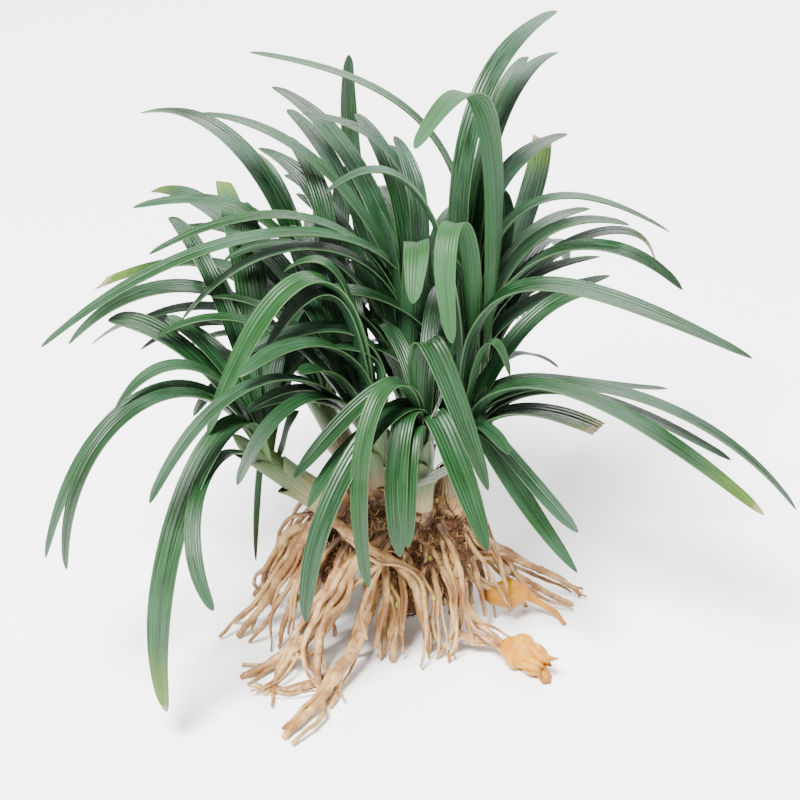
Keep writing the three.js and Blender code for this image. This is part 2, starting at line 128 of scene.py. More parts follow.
def ramp(tree, value, low, high, start=0.0, end=1.0):
    """A smooth step of value from low to high, given out between start and end."""
    made = node(tree, "ShaderNodeMapRange", {0: value, 1: low, 2: high, 3: start, 4: end},
                interpolation_type="SMOOTHSTEP")
    return made.outputs[0]


# %% [markdown]
# A leaf, a sheath and a root are all one section swept along a line. The line is a chain
# of mesh points, and each point carries what the section needs there: its half width, how
# far it curls, and which way is across. Geometry Nodes then make every strand at once.

# %% Guides: chains of points with attributes
def guide_mesh(name, strands):
    """One mesh with a chain of points for each strand, a dict of arrays."""
    points = np.concatenate([strand["point"] for strand in strands])
    edges, start = [], 0
    for strand in strands:
        count = len(strand["point"])
        edges += [(start + i, start + i + 1) for i in range(count - 1)]
        start += count
    mesh = bpy.data.meshes.new(name)
    mesh.from_pydata(points.tolist(), edges, [])
    for key in strands[0]:
        if key == "point":
            continue
        values = np.concatenate([np.asarray(strand[key], float) for strand in strands])
        is_vector = values.ndim == 2
        made = mesh.attributes.new(key, "FLOAT_VECTOR" if is_vector else "FLOAT", "POINT")
        made.data.foreach_set("vector" if is_vector else "value", values.ravel())
    return mesh


def grow(name, mesh, tree, values):
    """The plain mesh that a Geometry Nodes tree makes from a guide, as a new object."""
    guide = bpy.data.objects.new(name + "_guide", mesh)
    bpy.context.scene.collection.objects.link(guide)
    modifier = guide.modifiers.new("grow", "NODES")
    modifier.node_group = tree
    for item in tree.interface.items_tree:
        if item.in_out == "INPUT" and item.name in values:
            modifier[item.identifier] = values[item.name]
    evaluated = guide.evaluated_get(bpy.context.evaluated_depsgraph_get())
    made = bpy.data.meshes.new_from_object(evaluated)
    guide.modifiers.remove(modifier)
    bpy.data.objects.remove(guide)
    piece = bpy.data.objects.new(name, made)
    made.name = name
    bpy.context.scene.collection.objects.link(piece)
    print(f"{name}: {sum(len(p.vertices) - 2 for p in made.polygons)} triangles")
    return piece


def new_tree(name, sockets):
    """An empty Geometry Nodes tree with named inputs, and its input and output nodes."""
    tree = bpy.data.node_groups.new(name, "GeometryNodeTree")
    tree.interface.new_socket("Geometry", in_out="INPUT", socket_type="NodeSocketGeometry")
    tree.interface.new_socket("Geometry", in_out="OUTPUT", socket_type="NodeSocketGeometry")
    for title, kind in sockets.items():
        tree.interface.new_socket(title, in_out="INPUT", socket_type="NodeSocket" + kind)
    return tree, tree.nodes.new("NodeGroupInput").outputs, tree.nodes.new("NodeGroupOutput")


def read(tree, name, kind="FLOAT"):
    return node(tree, "GeometryNodeInputNamedAttribute", {0: name}, data_type=kind).outputs[0]


def finish_tree(tree, geometry, material, output):
    """Smooth shading, real instances and the material end every tree."""
    smooth = node(tree, "GeometryNodeSetShadeSmooth", {0: geometry})
    real = node(tree, "GeometryNodeRealizeInstances", {0: smooth.outputs[0]})
    dressed = node(tree, "GeometryNodeSetMaterial", {0: real.outputs[0], 2: material})
    tree.links.new(dressed.outputs[0], output.inputs[0])


# %% [markdown]
# The blade tree. A circle is pressed into a flat lens with a groove along its upper face,
# as a mondo grass leaf has over its midrib, and swept along the guide. Then each point of
# the section is bent round the guide by the curl, so a leaf is a channel and a sheath
# wraps its stem. The attributes u (-1 to 1 across) and face (+1 above) go to the material.

# %% The blade tree
def blade_tree():
    tree, given, output = new_tree("blades", {
        "Thickness": "Float", "Groove": "Float", "Ribs": "Float", "Sides": "Int",
        "Material": "Material"})
    groove_width = 0.16
    rib_count = 26
    circle = node(tree, "GeometryNodeCurvePrimitiveCircle", {0: given["Sides"], 4: 1.0})
    place = node(tree, "ShaderNodeSeparateXYZ",
                 {0: node(tree, "GeometryNodeInputPosition").outputs[0]}).outputs
    across, up = place[0], place[1]
    near_middle = calc(tree, "DIVIDE", across, groove_width)
    groove = calc(tree, "EXPONENT", calc(
        tree, "MULTIPLY", calc(tree, "MULTIPLY", near_middle, near_middle), -1.0))
    ribs = calc(tree, "COSINE", calc(tree, "MULTIPLY", across, rib_count))
    height = calc(tree, "MULTIPLY", up, given["Thickness"])
    height = calc(tree, "SUBTRACT", height, calc(tree, "MULTIPLY", groove, given["Groove"]))
    height = calc(tree, "ADD", height, calc(tree, "MULTIPLY", ribs, given["Ribs"]))
    pressed = node(tree, "ShaderNodeCombineXYZ", {0: across, 1: height}).outputs[0]
    profile = node(tree, "GeometryNodeStoreNamedAttribute",
                   {0: circle.outputs[0], 2: "u", 3: across})
    profile = node(tree, "GeometryNodeStoreNamedAttribute",
                   {0: profile.outputs[0], 2: "face", 3: up})
    profile = node(tree, "GeometryNodeSetPosition", {0: profile.outputs[0], 2: pressed})
    line = node(tree, "GeometryNodeMeshToCurve", {0: given["Geometry"]})
    line = node(tree, "GeometryNodeSetCurveNormal",
                {0: line.outputs[0], 2: read(tree, "across", "FLOAT_VECTOR")}, mode="FREE")
    swept = node(tree, "GeometryNodeCurveToMesh", {
        0: line.outputs[0], 1: profile.outputs[0], 2: read(tree, "half"), 3: True})
    u, half, curl = (read(tree, name) for name in ("u", "half", "curl"))
    turn = calc(tree, "MULTIPLY", u, curl)
    radius = calc(tree, "DIVIDE", half, curl)
    sideways = calc(tree, "SUBTRACT", calc(tree, "MULTIPLY", calc(tree, "SINE", turn), radius),
                    calc(tree, "MULTIPLY", u, half))
    upwards = calc(tree, "MULTIPLY", radius, calc(
        tree, "SUBTRACT", 1.0, calc(tree, "COSINE", turn)))
    offset = vector_calc(tree, "ADD",
                         vector_calc(tree, "SCALE", read(tree, "across", "FLOAT_VECTOR"), sideways),
                         vector_calc(tree, "SCALE", read(tree, "upper", "FLOAT_VECTOR"), upwards))
    ragged = node(tree, "ShaderNodeTexNoise", {
        1: calc(tree, "ADD", calc(tree, "MULTIPLY", u, 3.0), read(tree, "tone"))},
        noise_dimensions="1D").outputs[0]
    slant = calc(tree, "ADD", u, calc(tree, "MULTIPLY", calc(tree, "SUBTRACT", ragged, 0.5), 3.0))
    offset = vector_calc(tree, "ADD", offset, vector_calc(
        tree, "SCALE", read(tree, "lean", "FLOAT_VECTOR"), slant))
    bent = node(tree, "GeometryNodeSetPosition", {0: swept.outputs[0], 3: offset})
    finish_tree(tree, bent.outputs[0], given["Material"], output)
    return tree


blades = blade_tree()
print("blade tree:", len(blades.nodes), "nodes")

# %% [markdown]
# These are the fans and leaves of the frame, row by row. A row is one leaf: its heading,
# the curve's two handles and its tip as (reach, height) from the foot, how far the
# heading turns by the tip, the width, and the tip's share of it on a cut or torn leaf.
# Most rows came from a separate fitting program, which worked them out from points read
# off the photograph.

# %% The fans and their leaves
BLADE_BASE_SHARE = 0.4
BLADE_TIP_SHARE = 0.24
BLADE_THICK = 0.7  # in the frame's solids, where every blade is a flat bar
SHOULDER = 0.3
TAPER = 0.76
STEM_TOP = 6
FOOT_OUT = 1.1
FOOT_ASIDE = 0.8

FANS = {
    "fan_left": {
        "foot": (-9.5, 1.5, 22), "neck": (-22, -2, 34), "radius": 2.7,
        "leaves": [
            (170, (5, 14.5), (18.5, 26.5), (26.5, 24.5), 0, 5.4),
            (162, (3, 15.5), (15, 24.5), (17.5, 24.5), 0, 3.6),
            (200, (3, 17), (16.5, 30), (26.5, 15), 5, 3.6),
            (190, (9, 27.5), (31, 19), (40.5, -6), 20, 3.6),
            (209, (10.5, 29.5), (38.5, 20.5), (42, -2.5), 15, 3.6),
            (225, (4.5, 27.5), (35.5, -1), (36.5, -27), 20, 5),
            (228, (13, 14), (32, 4.5), (34, -7.5), 30, 2.8),
            (104, (8.5, 17.5), (20.5, 34), (37.5, 36), 0, 4.4, 0.6),
            (93, (6.5, 15.5), (19, 29), (29, 35.5), 6, 3.4),
            (165, (0, 7.5), (2, -0.5), (3, -20), 0, 3),
            (20, (3.5, 2), (2.5, 7.5), (5.5, 9), 0, 2.6),
        ],
        "sector": (3, 80, 150),
    },
    "fan_back_left": {
        "foot": (-6, 12.5, 21), "neck": (-13, 20, 31), "radius": 2.7,
        "leaves": [
            (192, (4.5, 22), (26.5, 39.5), (45, 22), 8, 4.8),
            (165, (3.5, 27), (17, 34), (41.5, 21), 0, 4.2, 0.8),
            (150, (0, 22), (8, 38), (30, 31), 5, 3.6),
            (198, (0, 13), (9, 20), (21, 22), 0, 3.8),
            (190, (2.5, 18), (17, 29), (34, 24), 10, 3),
            (146, (-1, 30.5), (15, 58.5), (39.5, 49), 0, 5),
            (124, (2, 23.5), (14, 41), (32.5, 39), -8, 3.6),
            (130, (-6, 28.5), (-7, 47), (20.5, 44.5), -5, 4),
            (108, (-1.5, 28), (-11.5, 45), (13.5, 48.5), 10, 3.4),
            (165, (-1, 24.5), (4.5, 47.5), (32.5, 39.5), 12, 3.8),
        ],
        "sector": (5, 50, 160),
    },
    "fan_centre_left": {
        "foot": (-4, 3, 22), "neck": (-4, 3, 31), "radius": 2.8,
        "leaves": [
            (204, (1, 38), (13, 53.5), (31, 14), 5, 5.2),
            (205, (3, 27), (6, 47), (20, 25), 0, 4.4),
            (200, (-2.5, 21), (11.5, 32.5), (28, 26), 20, 4),
            (185, (-6, 24), (4, 32), (22, 24), 10, 3.8),
            (185, (2, 24), (4, 45), (15, 36), -5, 3.6),
            (200, (2, 13), (-6, 22), (8, 24), 5, 3.6),
        ],
        "sector": (4, 90, 220),
    },
    "fan_front": {
        "foot": (3.5, 0, 21), "neck": (4, -3, 33), "radius": 2,
        "leaves": [
            (210, (-0.5, 25), (7.5, 20.5), (23.5, 4.5), -5, 4.4),
            (212, (-5, 27.5), (25.5, 10.5), (31, -14), 20, 4.8),
            (215, (1.5, 32.5), (22.5, 22.5), (21.5, -10.5), 30, 3.8),
            (235, (2, 24.5), (14.5, 13), (15.5, -7.5), 20, 4),
            (250, (4, 20), (13, 12), (15.5, -5.5), 10, 3.4),
            (295, (-1.5, 20.5), (6.5, 11), (18, -6.5), 10, 4.8),
            (290, (-4, 36.5), (0.5, 26.5), (16, 3.5), 20, 4.8),
            (205, (-0.5, 18.5), (14, 11.5), (22, -0.5), 5, 4.2),
        ],
        "sector": (1, 40, 150),
    },
    "fan_right": {
        "foot": (8, 3.2, 21), "neck": (10, 3, 32), "radius": 2.8,
        "leaves": [
            (330, (3, 25.5), (26.5, 20.5), (53.5, 2.5), 5, 5),
            (305, (0.5, 21.5), (2.5, 3.5), (25.5, -12.5), 15, 5),
            (315, (2, 15), (11.5, 3), (27, -3), 0, 3.8),
            (345, (2.5, 11), (12.5, 13), (23.5, 9), 0, 5.2, 0.85),
            (350, (7.5, 22), (25.5, 15.5), (46, 6.5), -5, 3.6),
            (352, (0.5, 21.5), (38, 22.5), (57.5, 0.5), -10, 4),
            (20, (2.5, 22.5), (17, 11), (37.5, 8.5), -5, 3.2),
            (330, (2, 17), (5, 32), (9, 18), 5, 2.6),
            (340, (-2, 41.5), (13.5, 39), (48, 25.5), 5, 5),
            (190, (-2.5, 33.5), (6, 64), (22, 49.5), -5, 4.2),
            (28, (2, 14), (12.5, 17.5), (19.5, 21), 20, 3.8),
            (300, (1, 10), (9, 12), (18, 10), -5, 3.2),
            (228, (-11.5, 44.5), (17, 63.5), (18, 31), 36, 3.8),
        ],
        "sector": (4, 35, 125),
    },
    "fan_back": {
        "foot": (0.5, 11.5, 21.5), "neck": (2, 15, 32), "radius": 2.8,
        "leaves": [
            (194, (-5.5, 34.5), (21.5, 47), (39.5, 25), 0, 4),
            (186, (-12.5, 44), (29, 49), (63, 24), 10, 3.6),
            (175, (-4, 34.5), (16, 50), (44, 34.5), 10, 3.2),
            (158, (-4.5, 29), (14, 55.5), (36, 55.5), 12, 3.2),
            (132, (-2.5, 27.5), (10.5, 52), (33, 54.5), 5, 4.4),
            (115, (-1, 23), (9, 40), (30, 46), 5, 3.8),
            (131, (4, 22), (17, 45), (37.5, 47.5), -5, 3.6),
            (100, (6.5, 19), (10.5, 38.5), (41.5, 36.5), -5, 3.8),
            (104, (1.5, 23), (-13, 46), (6, 52), 15, 3.4),
            (225, (3, 14), (2, 29), (6, 42), -15, 2.8),
            (115, (1, 23), (-2.5, 47.5), (17.5, 52.5), 8, 3.4),
            (160, (0, 29), (-8.5, 55.5), (18.5, 56.5), 8, 2.8),
            (280, (1.5, 38.5), (17, 50.5), (26, 36), -10, 4.2),
            (185, (1.5, 23.5), (15, 42.5), (31.5, 33), 0, 3.4),
            (118, (12.5, 16), (27, 40), (23, 61), 0, 3.8),
        ],
        "sector": (7, 40, 150),
    },
    "fan_back_right": {
        "foot": (8, 10.5, 20.5), "neck": (13, 14, 32), "radius": 2.8,
        "leaves": [
            (52, (-8.5, 36.5), (-12, 69), (24.5, 69), 5, 4.4),
            (48, (-6, 34.5), (0, 65.5), (32, 59), 15, 3.8),
            (62, (-8, 35), (3, 60.5), (33.5, 57), 12, 3.6),
            (42, (-4, 28), (-4, 51), (26, 47), 10, 3.8),
            (52, (0.5, 25), (22, 30), (37.5, 40), 18, 4.8, 0.75),
            (15, (-3.5, 36), (5.5, 54), (32.5, 36.5), -12, 3.8),
            (15, (-1, 25.5), (8, 43), (25.5, 38), -12, 4.8),
            (40, (0, 22), (5, 38), (29, 33), 5, 3.4),
            (20, (-9.5, 28), (29.5, 46), (31, 29), -12, 3.2),
            (350, (-4.5, 30.5), (18, 46), (34.5, 29.5), 0, 4.6),
            (5, (0, 17), (1, 30), (21, 32), 0, 3.8),
            (15, (-3, 20.5), (8, 23.5), (24, 26.5), 0, 3.8),
            (170, (3, 35.5), (-6.5, 62), (37.5, 67.5), 5, 3.8),
            (326, (6.5, 50.5), (7, 79), (30, 63), -77, 3.8),
            (238, (1, 34), (14, 50), (4, 17), -35, 4.6),
            (80, (0, 17), (-5, 32), (9, 37), 0, 3.4),
            (60, (3, 20), (15, 33), (9, 42), 0, 3.2),
        ],
        "sector": (5, 50, 140),
    },
}
print("listed leaves:", sum(len(fan["leaves"]) for fan in FANS.values()))


# %% [markdown]
# A leaf's spine is a Bezier curve from its foot by the stem, over two handles, to its tip.
# The blade stays level across at every point, so its heading gives the direction across,
# and the upper face follows from that and the way the spine runs.

# %% The spine of a leaf
def unit(vectors):
    return vectors / np.linalg.norm(vectors, axis=-1, keepdims=True)


def spine(neck, number, leaf, shares):
    """The points, the direction along, across and upwards, at shares of the length, in mm."""
    heading, rise, over, tip, side = leaf[:5]

    def at(reach, height, turn=0.0, aside=0.0):
        angle = math.radians(heading + turn)
        out = (math.cos(angle), math.sin(angle))
        return np.array(neck) + (
            reach * out[0] - aside * out[1], reach * out[1] + aside * out[0], height)

    start = at(FOOT_OUT, 0, aside=FOOT_ASIDE * (number % 3 - 1))
    first, second, end = at(*rise), at(*over, side / 2), at(*tip, side)
    t = shares[:, None]
    points = ((1 - t) ** 3 * start + 3 * (1 - t) ** 2 * t * first
              + 3 * (1 - t) * t ** 2 * second + t ** 3 * end)
    along = unit((1 - t) ** 2 * (first - start) + 2 * (1 - t) * t * (second - first)
                 + t ** 2 * (end - second))
    angles = np.radians(heading + side * shares)
    across = np.stack([-np.sin(angles), np.cos(angles), 0 * angles], axis=1)
    across = unit(across - along * (across * along).sum(1, keepdims=True))
    return points, along, across, np.cross(along, across)


def width_share(shares, tip_share):
    rise = np.clip(shares / SHOULDER, 0, 1)
    rise = rise * rise * (3 - 2 * rise)
    narrow = BLADE_BASE_SHARE + (1 - BLADE_BASE_SHARE) * rise
    past = np.clip((shares - TAPER) / (1 - TAPER), 0, 1) ** 2
    return np.where(shares < SHOULDER, narrow, 1 + (tip_share - 1) * past)


# %% [markdown]
# The frame also holds leaves and roots that were drawn by a seeded rule and then turned
# until they hung clear. The same draws are made again here. Which of them stand is read
# from the frame: a leaf is there if its four tip corners are points of its fan's solid.

# %% The frame's random draws, repeated
SEED = 20
STEP = 16807
PERIOD = 2147483647
TURNS = (0, 3, -3, 6, -6, 10, -10, 15, -15)
DRAWS = 14
SAME_PLACE = 0.02
state = {"draw": SEED}


def draw():
    state["draw"] = state["draw"] * STEP % PERIOD
    return state["draw"] / PERIOD


def between(low, high):
    return low + (high - low) * draw()


def lerp(first, second, share):
    return [a + (b - a) * share for a, b in zip(first, second)]


# The rule for the roots at the back and the sides
HIDDEN_ROOTS = 13
HIDDEN_FROM, HIDDEN_TO = -5, 200
HIDDEN_REACH = (14, 29.4)
HIDDEN_THICK = (1.4, 2.3)
HIDDEN_SWAY = 2
HIDDEN_START = (6, 21)  # reach and height
HIDDEN_BEND_REACH = (10, 12)
HIDDEN_BEND_HEIGHT = 19
HIDDEN_KNEE = 0.75  # share of the reach
HIDDEN_KNEE_HEIGHT = (7, 11)
HIDDEN_END_HEIGHT = 0.7
STOCK_CENTRE = (-1, 6, 19.5)
STOCK_HALF = (12.5, 10.5, 6.5)


def drawn_root(index):
    """A root's thickness and points, arching out from the rootstock to the ground."""
    turn = HIDDEN_FROM + (HIDDEN_TO - HIDDEN_FROM) * (index + draw()) / HIDDEN_ROOTS
    angle = math.radians(turn)
    far = between(*HIDDEN_REACH)
    girth = between(*HIDDEN_THICK)

    def at(out, height):
        aside = between(-HIDDEN_SWAY, HIDDEN_SWAY)
        return (STOCK_CENTRE[0] + out * math.cos(angle) - aside * math.sin(angle),
                STOCK_CENTRE[1] + out * math.sin(angle) + aside * math.cos(angle), height)

    start = at(*HIDDEN_START)
    bend_out = between(*HIDDEN_BEND_REACH)
    bend = at(bend_out, HIDDEN_BEND_HEIGHT)
    knee_height = between(*HIDDEN_KNEE_HEIGHT)
    knee = at(HIDDEN_KNEE * far, knee_height)
    return [girth, start, bend, knee, at(far, HIDDEN_END_HEIGHT)]


hidden_roots = [drawn_root(index) for index in range(HIDDEN_ROOTS)]


# The rule for a drawn leaf. Its handles and its tip are shares of its length, and the
# second handle and the tip lie between an upright form and a drooping one.
OUTER_SHAPE = {
    "rise": (0.1, 0.36), "over": ((0.3, 0.66), (0.45, 0.46)), "tip": ((0.52, 0.7), (0.72, 0.08))}
OUTER_LENGTH = (48, 68)
OUTER_TURN = (-12, 12)
OUTER_WIDTH = (3.4, 4.6)


def arch(length, droop, shape):
    """The two handles and the tip of a leaf that droops more or less."""
    over, tip = (lerp(*shape[part], droop) for part in ("over", "tip"))
    return [[share * length for share in shares] for shares in (shape["rise"], over, tip)]


def drawn_leaf(sector, index):
    count, start, end = sector
    heading = start + (end - start) * (index + between(0.2, 0.8)) / count
    length = between(*OUTER_LENGTH)
    rise, over, tip = arch(length, draw(), OUTER_SHAPE)
    return (heading, rise, over, tip, between(*OUTER_TURN), between(*OUTER_WIDTH))


def corner_finder(node_name):
    """Tells whether the frame's solid has a leaf's four tip corners."""
    points = [v.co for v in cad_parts[node_name].data.vertices]
    tree = KDTree(len(points))
    for index, point in enumerate(points):
        tree.insert(point, index)
    tree.balance()

    def stands(neck, number, leaf):
        middle, _, across, upper = (part[0] for part in spine(neck, number, leaf, np.ones(1)))
        half = leaf[5] * (leaf[6] if len(leaf) > 6 else BLADE_TIP_SHARE) / 2
        return all(
            tree.find(in_frame(middle + a * half * across + b * BLADE_THICK / 2 * upper))[2]
            < SAME_PLACE * MM for a in (1, -1) for b in (1, -1))

    return stands


for fan_name, fan in FANS.items():
    stands = corner_finder(fan_name)
    found = sum(stands(fan["neck"], n, leaf) for n, leaf in enumerate(fan["leaves"]))
    listed = len(fan["leaves"])
    for index in range(fan["sector"][0]):
        for _ in range(DRAWS):
            leaf = drawn_leaf(fan["sector"], index)
            turned = [(leaf[0] + turn, *leaf[1:]) for turn in TURNS]
            there = [t for t in turned if stands(fan["neck"], len(fan["leaves"]), t)]
            if there:
                fan["leaves"].append(there[0])
                break
    print(fan_name, "listed", listed, "found", found, "with drawn", len(fan["leaves"]))


# %% [markdown]
# A dense clump also has shorter leaves between the ones that show. A seeded rule grows a
# few more in each fan, and keeps one only where its line stays clear of all the others.
# They start inside the fan's stem, where leaves really lie close, so only the free part
# is measured.

# %% Shorter leaves between the others
INNER_LEAVES = {
    "fan_left": (4, 60, 170), "fan_back_left": (9, 60, 200), "fan_centre_left": (9, 90, 215),
    "fan_front": (3, 60, 150), "fan_right": (9, 40, 190), "fan_back": (14, 60, 250),
    "fan_back_right": (11, 60, 200)}
INNER_SHAPE = {
    "rise": (0.06, 0.38), "over": ((0.25, 0.7), (0.45, 0.52)), "tip": ((0.45, 0.8), (0.75, 0.2))}
INNER_LENGTH = (34, 54)
INNER_TURN = (-20, 20)
INNER_WIDTH = (2.6, 3.8)
CLEAR_OF_OTHERS = 2.1
CLEAR_FROM = 0.4
INNER_TRIES = 40
chance = random.Random(4)
free_part = np.linspace(CLEAR_FROM, 1, 14)


def inner_leaf(start, end):
    heading = chance.uniform(start, end)
    length = chance.uniform(*INNER_LENGTH)
    rise, over, tip = arch(length, chance.random(), INNER_SHAPE)
    return (heading, rise, over, tip, chance.uniform(*INNER_TURN), chance.uniform(*INNER_WIDTH))


def free_points(fan, number, leaf):
    return spine(fan["neck"], number, leaf, free_part)[0]


others = np.concatenate([free_points(fan, n, leaf)
                         for fan in FANS.values() for n, leaf in enumerate(fan["leaves"])])
for fan_name, (wanted, start, end) in INNER_LEAVES.items():
    fan = FANS[fan_name]
    fan["inner"] = len(fan["leaves"])
    for _ in range(wanted * INNER_TRIES):
        if len(fan["leaves"]) == fan["inner"] + wanted:
            break
        leaf = inner_leaf(start, end)
        line = free_points(fan, len(fan["leaves"]), leaf)
        apart = np.linalg.norm(line[:, None] - others[None], axis=2).min()
        if apart > CLEAR_OF_OTHERS and line[:, 2].min() > GROUND_HEIGHT:
            fan["leaves"].append(leaf)
            others = np.concatenate([others, line])
    print(fan_name, "leaves with the inner ones:", len(fan["leaves"]))

# %% [markdown]
# Each leaf becomes a strand of the guide. Its section is a deep channel at the foot and
# opens towards the tip, which is rounded off unless the leaf was cut or torn. A torn end
# leans over and frays. Every leaf twists a little, and has a tone of its own. A few of
# them are young and bright, and a few have a dry tip. The grey bloom, partly painted
# sheen, is stronger on the fans at the back as painted highlight.

# %% Strands for the leaves
SPAN_STATIONS = 36
TIP_STATIONS = 9
TIP_ROUND = 0.62  # length of the rounded tip, in widths of the leaf
BLUNT_TIP = 0.44  # width where the rounding starts, as a share of the full width
TORN_LEAN = 0.45  # how far a torn end leans over, in half widths
CURL_AT_FOOT, CURL_AT_SHOULDER, CURL_AT_TIP = 1.5, 0.62, 0.3
TWIST = 9
YOUNG = {
    ("fan_back", 12): 1, ("fan_right", 12): 1, ("fan_back_right", 13): 0.9, ("fan_right", 7): 1,
    ("fan_right", 1): 0.6, ("fan_front", 2): 0.5, ("fan_left", 10): 0.8, ("fan_left", 5): 0.3,
    ("fan_centre_left", 0): 0.35, ("fan_right", 0): 0.25, ("fan_front", 6): 0.15,
    ("fan_left", 7): 1}
# How strong the bloom is on each fan. It is partly painted sheen: weaker in front, and stronger at
# the back as painted highlight.
BLOOM_AND_SHEEN_BY_FAN = {"fan_front": 0.4, "fan_centre_left": 0.75, "fan_left": 0.85, "fan_right": 0.85}
DRY_ENDS = {("fan_left", 5): 0.02, ("fan_left", 7): 0.004, ("fan_back_left", 1): 0.03,
            ("fan_right", 3): 0.04, ("fan_back_right", 4): 0.03, ("fan_back_right", 8): 0.1,
            ("fan_back", 12): 0, ("fan_right", 12): 0}
DRY_CHANCE = 0.06
DRY_LENGTH = (0.01, 0.03)  # share of the leaf
# the bloom and painted sheen of the fans not listed above
USUAL_BLOOM_AND_SHEEN = 1.15


def turned_about(vectors, axes, angles):
    """Each vector turned about its axis, which it stands square to."""
    return (vectors * np.cos(angles)[:, None]
            + np.cross(axes, vectors) * np.sin(angles)[:, None])


def stations(rounding):
    """Shares of the length: even ones, then close ones round the tip."""
    bend = np.sin(np.linspace(0, math.pi / 2, TIP_STATIONS))
    return np.concatenate([np.linspace(0, 1 - rounding, SPAN_STATIONS)[:-1],
                           1 - rounding + rounding * bend])


def leaf_strand(fan_name, number, leaf):
    fan = FANS[fan_name]
    rough_line = spine(fan["neck"], number, leaf, np.linspace(0, 1, 30))[0]
    length = np.linalg.norm(np.diff(rough_line, axis=0), axis=1).sum()
    rounding = TIP_ROUND * leaf[5] / length
    t = stations(rounding)
    points, along, across, _ = spine(fan["neck"], number, leaf, t)
    past = np.clip((t - 1 + rounding) / rounding, 0, 1)
    lean = np.zeros_like(points)
    if len(leaf) > 6:
        half = leaf[5] / 2 * width_share(t, leaf[6])
        lean = along * (TORN_LEAN * half * past)[:, None]
    else:
        half = leaf[5] / 2 * width_share(t, BLUNT_TIP) * np.sqrt(1 - 0.99 * past ** 2)
    phase, turns = chance.uniform(0, 6.3), chance.uniform(3, 6)
    angles = np.radians(TWIST) * t * np.sin(phase + turns * t)
    across = turned_about(across, along, angles)
    curl = np.interp(t, [0, SHOULDER, 1], [CURL_AT_FOOT, CURL_AT_SHOULDER, CURL_AT_TIP])
    dry_tip = chance.uniform(*DRY_LENGTH) if chance.random() < DRY_CHANCE else 0.0
    same = np.ones(len(t))
    return {
        "point": in_frame(points), "across": across, "upper": np.cross(along, across),
        "lean": lean * MM, "half": half * MM, "curl": curl, "share": t,
        "tone": same * chance.random(), "length": same * length * MM,
        "young": same * YOUNG.get((fan_name, number), 0),
        "dry": same * DRY_ENDS.get((fan_name, number), dry_tip),
        # inner marks the shorter leaves between the others, which the material darkens as painted
        # shade
        "inner": same * (number >= fan["inner"]),
        "bloom_and_sheen": same * BLOOM_AND_SHEEN_BY_FAN.get(fan_name, USUAL_BLOOM_AND_SHEEN),
    }


def leaf_strands(fan_name):
    leaves = FANS[fan_name]["leaves"]
    return [leaf_strand(fan_name, number, leaf) for number, leaf in enumerate(leaves)]


print("stations on a leaf:", len(stations(0.05)))


# %% [markdown]
# The leaf's finish. Mondo grass is dark green with a grey bloom that comes and goes, fine
# pale veins that run the whole length, a pale line along both margins and a paler lower
# face. The bloom is partly painted sheen, stronger towards the tip, and stronger on the fans
# at the back as painted highlight. All of it follows the blade, so the pattern reads the
# strand's own attributes instead of a place in space.

# %% The leaf's material
def start_material(name, roughness, specular=0.5):
    material = bpy.data.materials.new(name)
    material.use_nodes = True
    tree = material.node_tree
    shader = tree.nodes["Principled BSDF"]
    shader.inputs["Roughness"].default_value = roughness
    shader.inputs["Specular IOR Level"].default_value = specular
    return material, tree, shader


def attribute(tree, name):
    return node(tree, "ShaderNodeAttribute", attribute_name=name).outputs["Fac"]


def noise(tree, vector, scale, detail=2.0, roughness=0.5):
    return node(tree, "ShaderNodeTexNoise", {
        0: vector, 2: scale, 3: detail, 4: roughness}).outputs[0]


def object_place(tree):
    return node(tree, "ShaderNodeTexCoord").outputs["Object"]


def bump(tree, shader, height, strength, distance):
    made = node(tree, "ShaderNodeBump", {
        "Strength": strength, "Distance": distance, "Height": height})
    tree.links.new(made.outputs[0], shader.inputs["Normal"])


def strand_place(tree, across_scale, along_scale):
    """A texture place on a strand: across it, along it in metres, and its own number."""
    along = calc(tree, "MULTIPLY", attribute(tree, "share"), attribute(tree, "length"))
    return node(tree, "ShaderNodeCombineXYZ", {
        0: calc(tree, "MULTIPLY", attribute(tree, "u"), across_scale),
        1: calc(tree, "MULTIPLY", along, along_scale),
        2: calc(tree, "MULTIPLY", attribute(tree, "tone"), 40.0)}).outputs[0]


LEAF_DARK = (0.0009, 0.008, 0.0012)
LEAF_MID = (0.0036, 0.029, 0.0036)
LEAF_BRIGHT = (0.0085, 0.052, 0.006)
# the colour of the bloom, partly painted sheen
LEAF_BLOOM_AND_SHEEN = (0.028, 0.078, 0.045)
LEAF_VEIN = (0.025, 0.085, 0.028)
LEAF_MARGIN = (0.1, 0.18, 0.06)
LEAF_FOOT = (0.08, 0.14, 0.03)
LEAF_YELLOW = (0.07, 0.13, 0.01)
LEAF_DRY = (0.2, 0.16, 0.075)


